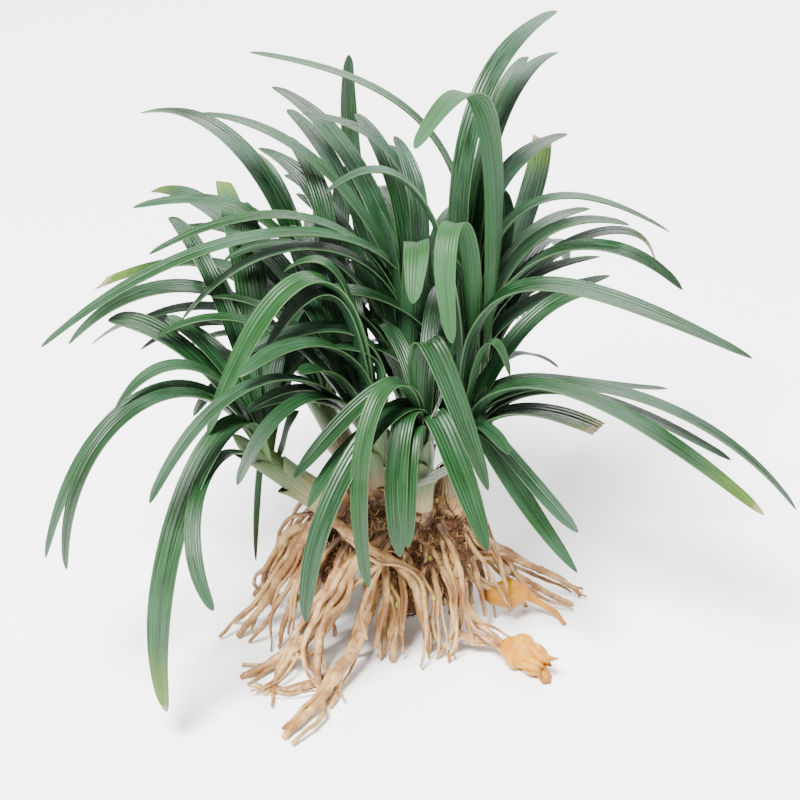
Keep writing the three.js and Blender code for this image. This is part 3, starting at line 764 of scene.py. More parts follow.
def leaf_material():
    material, tree, shader = start_material("leaf", 0.42, 0.32)
    u, share, tone = (attribute(tree, name) for name in ("u", "share", "tone"))
    off_middle = calc(tree, "ABSOLUTE", u)
    patches = noise(tree, object_place(tree), 70.0, 3.0)
    streaks = noise(tree, strand_place(tree, 3.0, 60.0), 3.0, 3.0)
    fine = noise(tree, strand_place(tree, 14.0, 300.0), 2.0, 2.0)
    green = mix(tree, ramp(tree, calc(tree, "ADD", streaks, calc(tree, "MULTIPLY", tone, 0.3)),
                           0.35, 0.85), LEAF_DARK, LEAF_MID)
    # Painted shade: the inner leaves, deep in the clump, are darkened and lose their bloom.
    inner = calc(tree, "MULTIPLY", attribute(tree, "inner"), 0.6)
    green = mix(tree, inner, green, LEAF_DARK)
    young = calc(tree, "MULTIPLY", attribute(tree, "young"),
                 ramp(tree, patches, 0.1, 0.6, 0.4, 0.9))
    green = mix(tree, young, green, LEAF_BRIGHT)
    underneath = ramp(tree, attribute(tree, "face"), 0.1, -0.1)
    # The grey bloom is partly the leaf's own and partly painted sheen. It is stronger towards the
    # tip, and stronger on the fans at the back as painted highlight.
    bloom_and_sheen = ramp(tree, calc(tree, "ADD", patches, calc(tree, "MULTIPLY", streaks, 0.4)), 0.55, 0.95)
    bloom_and_sheen = calc(tree, "MULTIPLY", bloom_and_sheen, ramp(tree, share, 0.1, 0.6, 0.15, 0.52))
    bloom_and_sheen = calc(tree, "ADD", bloom_and_sheen, calc(tree, "MULTIPLY", underneath, 0.12))
    bloom_and_sheen = calc(tree, "MULTIPLY", bloom_and_sheen, calc(tree, "SUBTRACT", 1.0, inner))
    bloom_and_sheen = calc(tree, "MULTIPLY", bloom_and_sheen, attribute(tree, "bloom_and_sheen"))
    green = mix(tree, bloom_and_sheen, green, LEAF_BLOOM_AND_SHEEN)
    wave = calc(tree, "COSINE", calc(tree, "MULTIPLY", off_middle, 21.0))
    veins = calc(tree, "MULTIPLY", ramp(tree, wave, 0.55, 0.95),
                 ramp(tree, streaks, 0.3, 0.7, 0.15, 0.55))
    green = mix(tree, veins, green, LEAF_VEIN)
    # Painted shade: the middle line along the groove is darkened.
    green = mix(tree, ramp(tree, off_middle, 0.09, 0.02, 0.0, 0.45), green, LEAF_DARK)
    green = mix(tree, ramp(tree, off_middle, 0.93, 0.98, 0.0, 0.42), green, LEAF_MARGIN)
    specks = calc(tree, "MULTIPLY", ramp(tree, fine, 0.68, 0.76), 0.35)
    green = mix(tree, specks, green, LEAF_MARGIN)
    green = mix(tree, ramp(tree, share, 0.16, 0.02, 0.0, 0.8), green, LEAF_FOOT)
    dry_from = calc(tree, "SUBTRACT", 1.0, attribute(tree, "dry"))
    ragged = calc(tree, "ADD", share, calc(tree, "MULTIPLY", calc(tree, "SUBTRACT", fine, 0.5), 0.03))
    past = calc(tree, "SUBTRACT", ragged, dry_from)
    yellowing = calc(tree, "MULTIPLY", ramp(tree, past, -0.14, 0.0, 0.0, 0.9),
                     ramp(tree, attribute(tree, "dry"), 0.0, 0.004))
    yellowing = calc(tree, "MULTIPLY", yellowing, ramp(tree, fine, 0.4, 0.55, 0.25, 1.0))
    green = mix(tree, yellowing, green, LEAF_YELLOW)
    green = mix(tree, ramp(tree, past, 0.0, 0.012), green, LEAF_DRY)
    tree.links.new(green, shader.inputs["Base Color"])
    rough = ramp(tree, calc(tree, "ADD", bloom_and_sheen, streaks), 0.3, 1.1, 0.34, 0.58)
    rough = calc(tree, "ADD", rough, calc(tree, "MULTIPLY", young, 0.2))
    tree.links.new(rough, shader.inputs["Roughness"])
    bump(tree, shader, calc(tree, "ADD", wave, calc(tree, "MULTIPLY", fine, 0.8)), 0.35, 0.00012)
    return material


leaf_finish = leaf_material()
print("leaf material:", len(leaf_finish.node_tree.nodes), "nodes")

# %% [markdown]
# One call of the blade tree makes all the leaves of a fan. The leaves replace the fan's
# plain solid and ride on the same body.

# %% The leaves of each fan
BLADE_VALUES = {"Thickness": 0.13, "Groove": 0.07, "Ribs": 0.012, "Sides": 24}


def take_place(piece, slot, *nodes):
    """The piece moves with the clump, and stands for the nodes. The slot is not used."""
    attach(piece, "root")
    if nodes:
        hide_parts(*nodes)


for fan_name in FANS:
    name = fan_name.replace("fan_", "leaves_")
    mesh = guide_mesh(name + "_lines", leaf_strands(fan_name))
    leaves = grow(name, mesh, blades, {**BLADE_VALUES, "Material": leaf_finish})
    take_place(leaves, "leaf", fan_name)

# %% [markdown]
# A fan's stem is no rod: it is made of sheaths, the wide feet of old and young leaves,
# wrapped round each other. They are pale cream low down, green above, and their thin
# edges dry to brown. The blade tree makes them too, with a curl of up to half a turn.

# %% The sheaths
SHEATHS = 7
SHEATH_TURN = 137.5
SHEATH_WRAP = 2.5
SHEATH_GIRTH = 0.9
SHEATH_LENGTH = (0.55, 0.65)  # share of the stem: the shortest, and how much more there can be
SHEATH_FIRST_TURN = 40
STAINED = {"fan_left": 0.3, "fan_front": 0.15}
USUAL_STAIN = 0.85
CORE_GIRTH = 0.8
CORE_RISE = 3
sheath_shares = np.linspace(0, 1, 30)


def stem_line(fan):
    """A stem's foot, the way it points and how far up its neck is."""
    foot, neck = np.array(fan["foot"], float), np.array(fan["neck"], float)
    return foot, unit(neck - foot), np.linalg.norm(neck - foot)


def sheath_strand(fan, index, stain=0.0):
    """One sheath: the first ones are the outer, shorter and drier."""
    foot, up, rise = stem_line(fan)
    full = rise + STEM_TOP
    first, more = SHEATH_LENGTH
    top = full * (first + more * (index + chance.random()) / SHEATHS)
    side = unit(np.cross(up, (0.3, 1, 0)))
    angle = math.radians(SHEATH_TURN * index + SHEATH_FIRST_TURN)
    out = side * math.cos(angle) + np.cross(up, side) * math.sin(angle)
    t = sheath_shares
    inwards = 1 - 0.3 * index / SHEATHS
    flare = (1.1 - 0.6 * index / SHEATHS) * np.clip((t - 0.55) / 0.45, 0, 1) ** 2
    radius = fan["radius"] * SHEATH_GIRTH * inwards * (1.1 - 0.2 * t)
    points = foot + up * (top * t)[:, None] + out * (radius + flare)[:, None]
    taper = 1 - 0.97 * np.clip((t - 0.45) / 0.55, 0, 1) ** 2.2
    curl = SHEATH_WRAP * taper ** 0.6
    along = unit(np.gradient(points, axis=0))
    across = np.tile(np.cross(up, out), (len(t), 1))
    across = unit(across - along * (across * along).sum(1, keepdims=True))
    same = np.ones(len(t))
    return {
        "point": in_frame(points), "across": across, "upper": np.cross(along, across),
        "lean": points * 0, "half": radius * curl * taper ** 0.4 * MM, "curl": curl,
        "share": t * top / full, "tone": same * chance.random(), "length": same * full * MM,
        "young": same * index / SHEATHS, "dry": same * stain, "inner": same * 0,
    }


def core_strand(fan):
    """The young leaves rolled up in the middle of the stem."""
    strand = sheath_strand({**fan, "radius": fan["radius"] * CORE_GIRTH}, 0)
    t = sheath_shares
    foot, up, rise = stem_line(fan)
    reach = (rise + CORE_RISE) * t
    radius = fan["radius"] * CORE_GIRTH * (1 - 0.3 * t)
    centre = foot + up * reach[:, None]
    strand["point"] = in_frame(centre - strand["upper"] * radius[:, None])
    strand["half"] = radius * math.pi * MM
    strand["curl"] = t * 0 + math.pi
    return strand


SHEATH_CREAM = (0.3, 0.25, 0.11)
SHEATH_GREEN = (0.02, 0.065, 0.01)
SHEATH_BROWN = (0.11, 0.045, 0.017)


def sheath_material():
    material, tree, shader = start_material("sheath", 0.5)
    u, share = attribute(tree, "u"), attribute(tree, "share")
    streaks = noise(tree, strand_place(tree, 9.0, 40.0), 3.0, 3.0)
    height = calc(tree, "ADD", share, calc(tree, "MULTIPLY", streaks, 0.35))
    colour = mix(tree, ramp(tree, height, 0.35, 0.75), SHEATH_CREAM, SHEATH_GREEN)
    wave = calc(tree, "COSINE", calc(tree, "MULTIPLY", u, 60.0))
    colour = mix(tree, ramp(tree, wave, 0.3, 1.0, 0.0, 0.28), colour, SHEATH_CREAM)
    edge = ramp(tree, calc(tree, "ABSOLUTE", u), 0.8, 1.0, 0.0, 0.9)
    edge = calc(tree, "MULTIPLY", edge, ramp(tree, streaks, 0.3, 0.6))
    stain = calc(tree, "MULTIPLY", attribute(tree, "dry"), ramp(tree, height, 1.0, 0.5))
    stain = calc(tree, "MULTIPLY", stain, ramp(tree, streaks, 0.25, 0.6, 0.35, 1.0))
    colour = mix(tree, calc(tree, "MAXIMUM", edge, stain), colour, SHEATH_BROWN)
    tree.links.new(colour, shader.inputs["Base Color"])
    bump(tree, shader, calc(tree, "ADD", wave, streaks), 0.4, 0.00012)
    return material


sheath_finish = sheath_material()
for fan_name, fan in FANS.items():
    name = fan_name.replace("fan_", "sheaths_")
    stain = STAINED.get(fan_name, USUAL_STAIN)
    strands = [sheath_strand(fan, index, stain) for index in range(SHEATHS)]
    strands.append(core_strand(fan))
    sheaths = grow(name, guide_mesh(name + "_lines", strands), blades, {
        "Thickness": 0.05, "Groove": 0.0, "Ribs": 0.004, "Sides": 40, "Material": sheath_finish})
    take_place(sheaths, "leaf")


# %% [markdown]
# Roots. The ones that show are the frame's own, point by point, and the drawn ones were
# made above. These are swept, joined to the lumpy rootstock and melted into one skin by way
# of a volume, so that they grow out of it and out of each other with no seam. Finer roots
# fill the space between them and run beside them, by a seeded rule, as plain tubes.

# %% The roots' paths
ROOTS = [
    (2.2, (-14, -1, 23), (-19, -2, 14), (-24, -3, 6), (-28, -5, 0.8)),
    (2.2, (-8, -2, 20), (-12, -8, 10.5), (-17, -12, 5), (-22, -15, 2.5), (-27, -17, 0.8)),
    (1.6, (-16, -11, 6), (-20, -17, 2.5), (-22.5, -22, 0.6)),
    (2.4, (-3, -1, 20), (-4.5, -6, 11), (-7, -14, 6.5), (-11, -22, 4), (-14.5, -28, 2),
     (-19, -34, 0.8)),
    (1.6, (-7, -14, 6.5), (-10, -20, 3), (-11.5, -26, 1)),
    (2, (-8, -2, 20), (-12, -10, 12), (-13.7, -16, 6), (-13.6, -20, 0.8)),
    (1.4, (-13.6, -19, 1.2), (-18, -21, 1.4), (-23, -20, 0.6)),
    (2, (-13, -2, 24), (-6, -8, 21.5), (0, -9, 18), (2.7, -9.5, 13), (4.2, -9.5, 4), (5, -9.5, 0.8)),
    (2, (0, -2, 23), (-7, -9, 19), (-10.5, -11, 14), (-15.5, -12.5, 7), (-19, -13.5, 0.8)),
    (2.6, (-1, 0, 18), (-1, -7, 9), (-1.3, -12.5, 0.8)),
    (1.3, (5, -3, 18), (6.2, -8, 12), (6.5, -11, 0.6)),
    (1.8, (8, -2, 18), (9.5, -8, 8), (9, -10.5, 0.8)),
    (2, (7, -1, 23), (9.4, -5, 16.5), (11, -6, 9.5), (14.4, -8, 5), (18, -11, 3.4)),
    (1.6, (9.2, -9, 5), (13, -8.5, 3), (18, -11, 3.4)),
    (1.8, (8, 1, 24), (14, 3, 16), (21, 6, 9.5), (28, 8, 5), (33, 8.5, 0.7)),
    (1.8, (8, 2, 17), (17, 5, 10), (22.5, 6.5, 5), (31, 5, 0.7)),
    (1.8, (8, 0, 15), (13, 0.5, 9), (17, 1, 6.4)),
    (1.8, (-13, 0, 22), (-19, 1, 18), (-23, 2, 11), (-24, 3, 5), (-23, 6, 0.7)),
    (1.6, (-13, 0, 21), (-17, -4, 14), (-19, -6, 8), (-21, -8, 0.7)),
]
ROOT_TIP_SHARE = 0.55
ROOT_GIRTH = 0.92
LOWEST_ROOT = GROUND_HEIGHT + 0.5
FINE_ROOTS = 84
FINE_REACH = (11, 23)
FINE_START = (-3, 4)  # over the rootstock's middle
FINE_FALLS = ((0.35, 0), (0.65, 3), (0.88, 9), (1, 18))  # share of the reach and fall
FINE_SWAY = 1.6
FINE_THICK = (0.7, 1.7)
BUNDLE = 3
BUNDLE_WIDTH = (1.4, 3.4)
BUNDLE_THICK = (0.35, 0.65)  # share of the placed root's


def fine_root(index):
    """A thinner root that leaves the rootstock at any side and bends down."""
    angle = 2 * math.pi * (index + chance.random()) / FINE_ROOTS
    out = np.array([math.cos(angle), math.sin(angle), 0])
    aside = np.array([-out[1], out[0], 0])
    centre = np.array(STOCK_CENTRE)
    reach = chance.uniform(*FINE_REACH)
    start_height = chance.uniform(*FINE_START)
    path = []
    for share, fall in FINE_FALLS:
        sway = chance.uniform(-FINE_SWAY, FINE_SWAY)
        path.append(centre + out * reach * share + aside * sway
                    + np.array([0, 0, start_height - fall * chance.uniform(0.75, 1.1)]))
    path[-1][2] = max(path[-1][2], LOWEST_ROOT)
    return (chance.uniform(*FINE_THICK), *path)


fine_roots = [fine_root(index) for index in range(FINE_ROOTS)]


def root_strand(root):
    thick, *points = root
    share = np.linspace(0, 1, len(points))
    girth = ROOT_GIRTH * thick / 2 * (1 - (1 - ROOT_TIP_SHARE) * share ** 2)
    return {"point": in_frame(points), "girth": girth * MM, "share": share}


def beside(root):
    """A thinner root that starts with a placed one, runs beside it and ends on its own."""
    thick, *points = root
    angle = chance.uniform(0, 2 * math.pi)
    aside = np.array([math.cos(angle), math.sin(angle), 0]) * chance.uniform(*BUNDLE_WIDTH)
    path = []
    for index, point in enumerate(points):
        stray = np.array([chance.gauss(0, 0.8), chance.gauss(0, 0.8), chance.gauss(0, 0.7)])
        path.append(np.array(point, float) + aside * (0.4 + 0.6 * index / len(points)) + stray)
        path[-1][2] = max(path[-1][2], LOWEST_ROOT)
    return (thick * chance.uniform(*BUNDLE_THICK), *path)


bundled = [beside(root) for root in ROOTS for _ in range(BUNDLE)]
print("roots:", len(ROOTS), "placed,", len(hidden_roots), "drawn,", len(fine_roots), "fine,",
      len(bundled), "beside the placed ones")


# %% [markdown]
# The tube tree sweeps a round section along a smooth line through the guide's points. The
# line wavers and its girth swells and shrinks with two noises, as a root does that grew
# round stones. The melt tree adds the rootstock and joins all of it into one skin.

# %% The tube tree and the melt tree
def swept_tubes(tree, given):
    """Nodes that turn the guide's chains into closed, uneven tubes."""
    line = node(tree, "GeometryNodeMeshToCurve", {0: given["Geometry"]})
    line = node(tree, "GeometryNodeCurveSplineType", {0: line.outputs[0]},
                spline_type="CATMULL_ROM")
    line = node(tree, "GeometryNodeResampleCurve", {0: line.outputs[0], 3: given["Step"]},
                mode="LENGTH")
    place = node(tree, "GeometryNodeInputPosition").outputs[0]
    sway = node(tree, "ShaderNodeTexNoise", {0: place, 2: 160.0, 3: 1.0}).outputs[1]
    sway = vector_calc(tree, "SUBTRACT", sway, (0.5, 0.5, 0.5))
    line = node(tree, "GeometryNodeSetPosition", {
        0: line.outputs[0], 3: vector_calc(tree, "SCALE", sway, given["Waver"])})
    swell = node(tree, "ShaderNodeTexNoise", {0: place, 2: 420.0, 3: 2.0}).outputs[0]
    swell = ramp(tree, swell, 0.3, 0.7, 0.82, 1.14)
    girth = calc(tree, "MULTIPLY", read(tree, "girth"), swell)
    circle = node(tree, "GeometryNodeCurvePrimitiveCircle", {0: given["Sides"], 4: 1.0})
    return node(tree, "GeometryNodeCurveToMesh", {
        0: line.outputs[0], 1: circle.outputs[0], 2: girth, 3: True}).outputs[0]


TUBE_INPUTS = {"Step": "Float", "Waver": "Float", "Sides": "Int", "Material": "Material"}


def tube_tree():
    tree, given, output = new_tree("tubes", TUBE_INPUTS)
    finish_tree(tree, swept_tubes(tree, given), given["Material"], output)
    return tree


def displaced(tree, geometry, scale, depth):
    """The surface moved along its normals by a noise."""
    place = node(tree, "GeometryNodeInputPosition").outputs[0]
    lumps = node(tree, "ShaderNodeTexNoise", {0: place, 2: scale, 3: 3.0}).outputs[0]
    height = calc(tree, "MULTIPLY", calc(tree, "SUBTRACT", lumps, 0.5), depth)
    normal = node(tree, "GeometryNodeInputNormal").outputs[0]
    return node(tree, "GeometryNodeSetPosition", {
        0: geometry, 3: vector_calc(tree, "SCALE", normal, height)}).outputs[0]


def melt_tree():
    tree, given, output = new_tree("melted_roots", {
        **TUBE_INPUTS, "Stock size": "Vector", "Stock place": "Vector", "Voxel": "Float",
        "Rough scale": "Float", "Rough depth": "Float"})
    tubes = swept_tubes(tree, given)
    ball = node(tree, "GeometryNodeMeshIcoSphere", {0: 1.0, 1: 5})
    stock = node(tree, "GeometryNodeTransform", {
        0: ball.outputs[0], "Translation": given["Stock place"], "Scale": given["Stock size"]})
    lumpy = displaced(tree, stock.outputs[0], 170.0, 0.007)
    joined = node(tree, "GeometryNodeJoinGeometry", {0: tubes})
    tree.links.new(lumpy, joined.inputs[0])
    solid = node(tree, "GeometryNodeMeshToVolume", {
        0: joined.outputs[0], 2: given["Voxel"], 4: given["Voxel"]},
        resolution_mode="VOXEL_SIZE")
    skin = node(tree, "GeometryNodeVolumeToMesh", {0: solid.outputs[0]}).outputs[0]
    rough = displaced(tree, skin, given["Rough scale"], given["Rough depth"])
    place = node(tree, "ShaderNodeSeparateXYZ",
                 {0: node(tree, "GeometryNodeInputPosition").outputs[0]}).outputs
    above = node(tree, "ShaderNodeCombineXYZ", {
        0: place[0], 1: place[1], 2: calc(tree, "MAXIMUM", place[2], 0.0)}).outputs[0]
    flat = node(tree, "GeometryNodeSetPosition", {0: rough, 2: above})
    finish_tree(tree, flat.outputs[0], given["Material"], output)
    return tree


tubes, melted = tube_tree(), melt_tree()
print("tube tree:", len(tubes.nodes), "nodes; melt tree:", len(melted.nodes), "nodes")

# %% [markdown]
# The roots are tan and cream outside, and dark brown where they leave the rootstock, as
# painted shade where they crowd. The darkness depends on the place round the rootstock, so
# the material reads Object coordinates, centred there by a Mapping node.

# %% The roots' material and the roots
ROOT_CREAM = (0.44, 0.27, 0.1)
ROOT_TAN = (0.2, 0.085, 0.02)
ROOT_DARK = (0.04, 0.015, 0.007)
STOCK_PLACE = [float(x) for x in in_frame(STOCK_CENTRE)]
STOCK_SHADE = 1.25  # how far the painted shade reaches, in the rootstock's own size


def root_material():
    material, tree, shader = start_material("root", 0.5)
    place = object_place(tree)
    blotches = noise(tree, place, 260.0, 4.0, 0.6)
    rings = noise(tree, place, 1500.0, 3.0, 0.6)
    colour = mix(tree, ramp(tree, blotches, 0.38, 0.66), ROOT_TAN, ROOT_CREAM)
    # Painted shade: the roots turn dark brown near the rootstock, where they crowd.
    stock = node(tree, "ShaderNodeMapping", {
        0: place, 1: STOCK_PLACE,
        3: [x * STOCK_SHADE * MM for x in STOCK_HALF]}, vector_type="TEXTURE").outputs[0]
    away = node(tree, "ShaderNodeVectorMath", {0: stock}, operation="LENGTH").outputs[1]
    away = calc(tree, "ADD", away, calc(tree, "MULTIPLY", calc(tree, "SUBTRACT", blotches, 0.5), 1.6))
    colour = mix(tree, ramp(tree, away, 1.15, 0.7, 0.0, 0.92), colour, ROOT_DARK)
    colour = mix(tree, ramp(tree, rings, 0.56, 0.72, 0.0, 0.5), colour, ROOT_DARK)
    tree.links.new(colour, shader.inputs["Base Color"])
    tree.links.new(ramp(tree, blotches, 0.3, 0.7, 0.62, 0.42), shader.inputs["Roughness"])
    shader.inputs["Subsurface Weight"].default_value = 0.12
    shader.inputs["Subsurface Radius"].default_value = (0.0012, 0.0006, 0.0003)
    bump(tree, shader, calc(tree, "ADD", rings, blotches), 0.5, 0.0003)
    return material


root_finish = root_material()
COLLAR = ((-3, 0.8), (0, 1.25), (2.5, 1.3), (4.5, 1.1), (5.2, 0.8))  # rise and girth


def collar_strand(fan):
    """The thickened foot that a stem stands in."""
    foot, up, _ = stem_line(fan)
    rises, girths = zip(*COLLAR)
    return {"point": in_frame([foot + up * rise for rise in rises]),
            "girth": fan["radius"] * np.array(girths) * MM, "share": np.linspace(0, 1, len(rises))}


MELT_VALUES = {
    "Step": 0.8 * MM, "Waver": 1.3 * MM, "Sides": 10, "Voxel": 0.33 * MM,
    "Stock size": [x * 0.97 * MM for x in STOCK_HALF], "Rough scale": 900.0,
    "Rough depth": 0.5 * MM,
    "Stock place": STOCK_PLACE, "Material": root_finish}
root_strands = [root_strand(root) for root in ROOTS + hidden_roots]
root_strands += [collar_strand(fan) for fan in FANS.values()]
roots = grow("roots", guide_mesh("root_lines", root_strands), melted, MELT_VALUES)
take_place(roots, "root", "root_mass")
fine_strands = [root_strand(root) for root in fine_roots + bundled]
rootlets = grow("fine_roots", guide_mesh("fine_root_lines", fine_strands), tubes, {
    "Step": 0.7 * MM, "Waver": 2 * MM, "Sides": 8, "Material": root_finish})
take_place(rootlets, "root")

# %% [markdown]
# Between the roots sits what is left of dead fibres and soil: dark clots, and a felt of
# hair-thin fibres over them and over the rootstock. The clots are melted like the roots,
# from thick short strands. Each fibre is a seeded walk that starts on the rootstock or on a
# clot, and mostly goes down.

# %% Clots and fibres
CLOTS = [
    ((2, -2, 19), (4, -4, 15), (6, -4.5, 12), (7, -4.5, 9)),
    ((8, 0, 22), (9.5, -2.5, 17), (9, -3, 12)),
    ((-6, -2, 20), (-4, -4, 16), (-3, -4.5, 12)),
    ((-10, 1, 19), (-12, -1, 15), (-12, -2, 11)),
    ((0, -2, 14), (1, -4, 10), (1.5, -4, 6)),
    ((6, 12, 20), (8, 14, 15), (7, 13, 11)),
    ((-6, 13, 19), (-8, 14, 14), (-7, 13, 11)),
]
CLOT_GIRTHS = (1.6, 2.3, 1.9, 0.9)
CLOT_FIBRES = 1200
STOCK_FIBRES = 700
FIBRE_STEPS = 8
FIBRE_STEP = (0.7, 1.6)
FIBRE_GIRTH = (0.07, 0.2)
FIBRE_LIFT = (0.1, 0.5)
MAT_DARK = (0.022, 0.009, 0.005)
MAT_BROWN = (0.16, 0.068, 0.026)
MAT_STRAW = (0.4, 0.23, 0.09)


def mat_material(name, pale_from):
    """Dark brown, with straw-coloured parts where the noise is above pale_from."""
    material, tree, shader = start_material(name, 0.8, 0.2)
    place = object_place(tree)
    coarse, fine = noise(tree, place, 330.0, 4.0, 0.6), noise(tree, place, 2600.0, 3.0, 0.7)
    colour = mix(tree, ramp(tree, fine, 0.35, 0.65), MAT_DARK, MAT_BROWN)
    colour = mix(tree, ramp(tree, coarse, pale_from, pale_from + 0.15), colour, MAT_STRAW)
    tree.links.new(colour, shader.inputs["Base Color"])
    bump(tree, shader, fine, 0.9, 0.0004)
    return material


clot_strands = []
for path in CLOTS:
    share = np.linspace(0, 1, len(path))
    clot_strands.append({"point": in_frame(path), "share": share,
                         "girth": np.interp(share, np.linspace(0, 1, 4), CLOT_GIRTHS) * MM})
clots = grow("clots", guide_mesh("clot_lines", clot_strands), melted, {
    **MELT_VALUES, "Voxel": 0.4 * MM, "Rough scale": 520.0, "Rough depth": 3.2 * MM,
    "Material": mat_material("clots", 0.56)})
take_place(clots, "root")


def surface_tree(*pieces):
    """A tree for nearest points and rays on the pieces, which all stand at the origin."""
    points, faces = [], []
    for piece in pieces:
        start = len(points)
        points += [vertex.co.copy() for vertex in piece.data.vertices]
        faces += [[start + v for v in polygon.vertices] for polygon in piece.data.polygons]
    return BVHTree.FromPolygons(points, faces)


def fibre_strand(start, outwards):
    """A walk from a point: it lies on what is near and goes down and about, ever thinner."""
    point, heading = np.array(start), np.array(outwards)
    points = [point - heading * 0.4 * MM]
    lift, stray = chance.uniform(*FIBRE_LIFT) * MM, chance.uniform(0, 0.5)
    for _ in range(FIBRE_STEPS):
        wander = np.array([chance.gauss(0, 0.7), chance.gauss(0, 0.7), chance.gauss(-0.4, 0.5)])
        heading = unit(heading * 0.6 + wander)
        point = point + heading * chance.uniform(*FIBRE_STEP) * MM
        near, normal, _, _ = carriers.find_nearest(Vector(point))
        resting = np.array(near) + np.array(normal) * lift
        point = resting * (1 - stray) + point * stray
        point[2] = max(point[2], 0.2 * MM)
        points.append(point)
    share = np.linspace(0, 1, len(points))
    return {"point": np.array(points), "share": share,
            "girth": chance.uniform(*FIBRE_GIRTH) * MM * (1 - 0.7 * share)}


def starts_on(piece, count, reach):
    """Seeded points of a piece within a reach of the rootstock, each with its normal."""
    centre, half = in_frame(STOCK_CENTRE), np.array(STOCK_HALF) * MM
    near = [vertex for vertex in piece.data.vertices
            if np.linalg.norm((np.array(vertex.co) - centre) / half) < reach]
    return [(np.array(vertex.co), np.array(vertex.normal))
            for vertex in chance.choices(near, k=count)]


carriers = surface_tree(roots, clots)
fibre_strands = [
    fibre_strand(start, outwards)
    for start, outwards in starts_on(clots, CLOT_FIBRES, 9) + starts_on(roots, STOCK_FIBRES, 1.35)]
fibres = grow("fibres", guide_mesh("fibre_lines", fibre_strands), tubes, {
    "Step": 0.8 * MM, "Waver": 0.6 * MM, "Sides": 4, "Material": mat_material("fibres", 0.44)})
take_place(fibres, "root")
print("fibres:", len(fibre_strands))

# %% [markdown]
# The tubers. Two roots swell into amber, water-filled tubers with a thin wrinkled skin. The
# one in front ends in rags where its tip broke off. Each is a strand whose girth follows
# the frame's solid, and the tail goes on from it.

# %% The tubers
TUBERS = {
    "tuber_right": {
        "centre": (18.8, 1.6, 5.6), "heading": 10, "dip": 8, "half": 4.2, "radius": 2.7,
        "tail": ((22, 2, 5), (26.5, 1.5, 2.5), (29, -1, 0.6)), "thick": 1.3},
    "tuber_front": {
        "centre": (20.8, -13.4, 3.3), "heading": -42, "dip": 2, "half": 4.3, "radius": 2.9,
        "tail": ((23, -15.4, 2.6), (24.3, -17, 1.8), (25, -18.4, 0.8)), "thick": 2.2},
}
TUBER_AMBER = (0.4, 0.15, 0.0)
TUBER_PALE = (0.5, 0.235, 0.0)
TUBER_BROWN = (0.14, 0.045, 0.006)
TUBER_STATIONS = 26
TUBER_END = 0.995  # where its rounded ends stop, in half lengths
TUBER_GIRTH = 0.97
RAGS = 9
RAG_LINE = ((0.4, 0.8), (0.72, 0.66), (1.0, 0.45))  # half lengths along and radii out
RAG_END, RAG_END_WIDTH = (1.3, 1.65), (0.4, 0.9)
RAG_GIRTHS = (0.4, 0.8, 0.75, 0.12)


def tuber_axis(tuber):
    turn, dip = math.radians(tuber["heading"]), math.radians(tuber["dip"])
    return np.array([math.cos(turn) * math.cos(dip), math.sin(turn) * math.cos(dip), -math.sin(dip)])


def tuber_strand(tuber):
    """The swollen body along its axis, from the root's side to the tail's."""
    axis = tuber_axis(tuber)
    along = np.linspace(-TUBER_END, TUBER_END, TUBER_STATIONS)
    girth = tuber["radius"] * np.sqrt(1 - along ** 2) * TUBER_GIRTH
    points = np.array(tuber["centre"], float) + axis * (along * tuber["half"])[:, None]
    return {"point": in_frame(points), "girth": girth * MM, "share": (along + 1) / 2}


def tail_strand(tuber):
    girth = tuber["thick"] / 2 * np.array([1.0, 0.9, 0.7])
    return {"point": in_frame(tuber["tail"]), "girth": girth * MM, "share": np.array([0.8, 0.9, 1])}


def rag_strand(tuber, index):
    """A torn strip of skin, from the body's far half past the broken tip."""
    axis = tuber_axis(tuber)
    around = 2 * math.pi * index / RAGS + chance.uniform(-0.3, 0.3)
    side, up = unit(np.cross(axis, (0, 0, 1))), np.array([0, 0, 1])
    out = side * math.cos(around) + up * math.sin(around)
    centre, half = np.array(tuber["centre"], float), tuber["half"]
    end = (chance.uniform(*RAG_END), chance.uniform(*RAG_END_WIDTH))
    path = [centre + axis * half * far + out * tuber["radius"] * wide
            for far, wide in (*RAG_LINE, end)]
    for point in path:
        point[2] = max(point[2], GROUND_HEIGHT + 0.3)
    return {"point": in_frame(path), "girth": np.array(RAG_GIRTHS) * MM,
            "share": np.array([0.6, 0.7, 0.85, 1])}


def tuber_material():
    material, tree, shader = start_material("tuber", 0.4, 0.3)
    place = object_place(tree)
    patches, fine = noise(tree, place, 300.0, 4.0, 0.6), noise(tree, place, 1500.0, 4.0, 0.65)
    colour = mix(tree, ramp(tree, patches, 0.4, 0.7), TUBER_AMBER, TUBER_PALE)
    colour = mix(tree, ramp(tree, fine, 0.56, 0.72, 0.0, 0.75), colour, TUBER_BROWN)
    ends = calc(tree, "ABSOLUTE", calc(tree, "SUBTRACT", attribute(tree, "share"), 0.5))
    colour = mix(tree, ramp(tree, ends, 0.34, 0.5, 0.0, 0.65), colour, TUBER_BROWN)
    tree.links.new(colour, shader.inputs["Base Color"])
    shader.inputs["Subsurface Weight"].default_value = 0.06
    shader.inputs["Subsurface Radius"].default_value = (0.003, 0.0012, 0.0004)
    bump(tree, shader, calc(tree, "ADD", fine, patches), 0.6, 0.0005)
    return material


tuber_finish = tuber_material()
for name, tuber in TUBERS.items():
    strands = [tuber_strand(tuber), tail_strand(tuber)]
    if name == "tuber_front":
        strands += [rag_strand(tuber, index) for index in range(RAGS)]
    piece = grow(name + "_skin", guide_mesh(name + "_lines", strands), tubes, {
        "Step": 0.3 * MM, "Waver": 1.2 * MM, "Sides": 40, "Material": tuber_finish})
    take_place(piece, "tuber", name)

# %% [markdown]
# Small finds from the photograph. A grey papery scrap lies across the front stem, and
# bright yellow-green specks sit among the roots. Each speck is named by its pixel in the
# photograph, and a ray from the camera through that pixel finds the root it sits on.

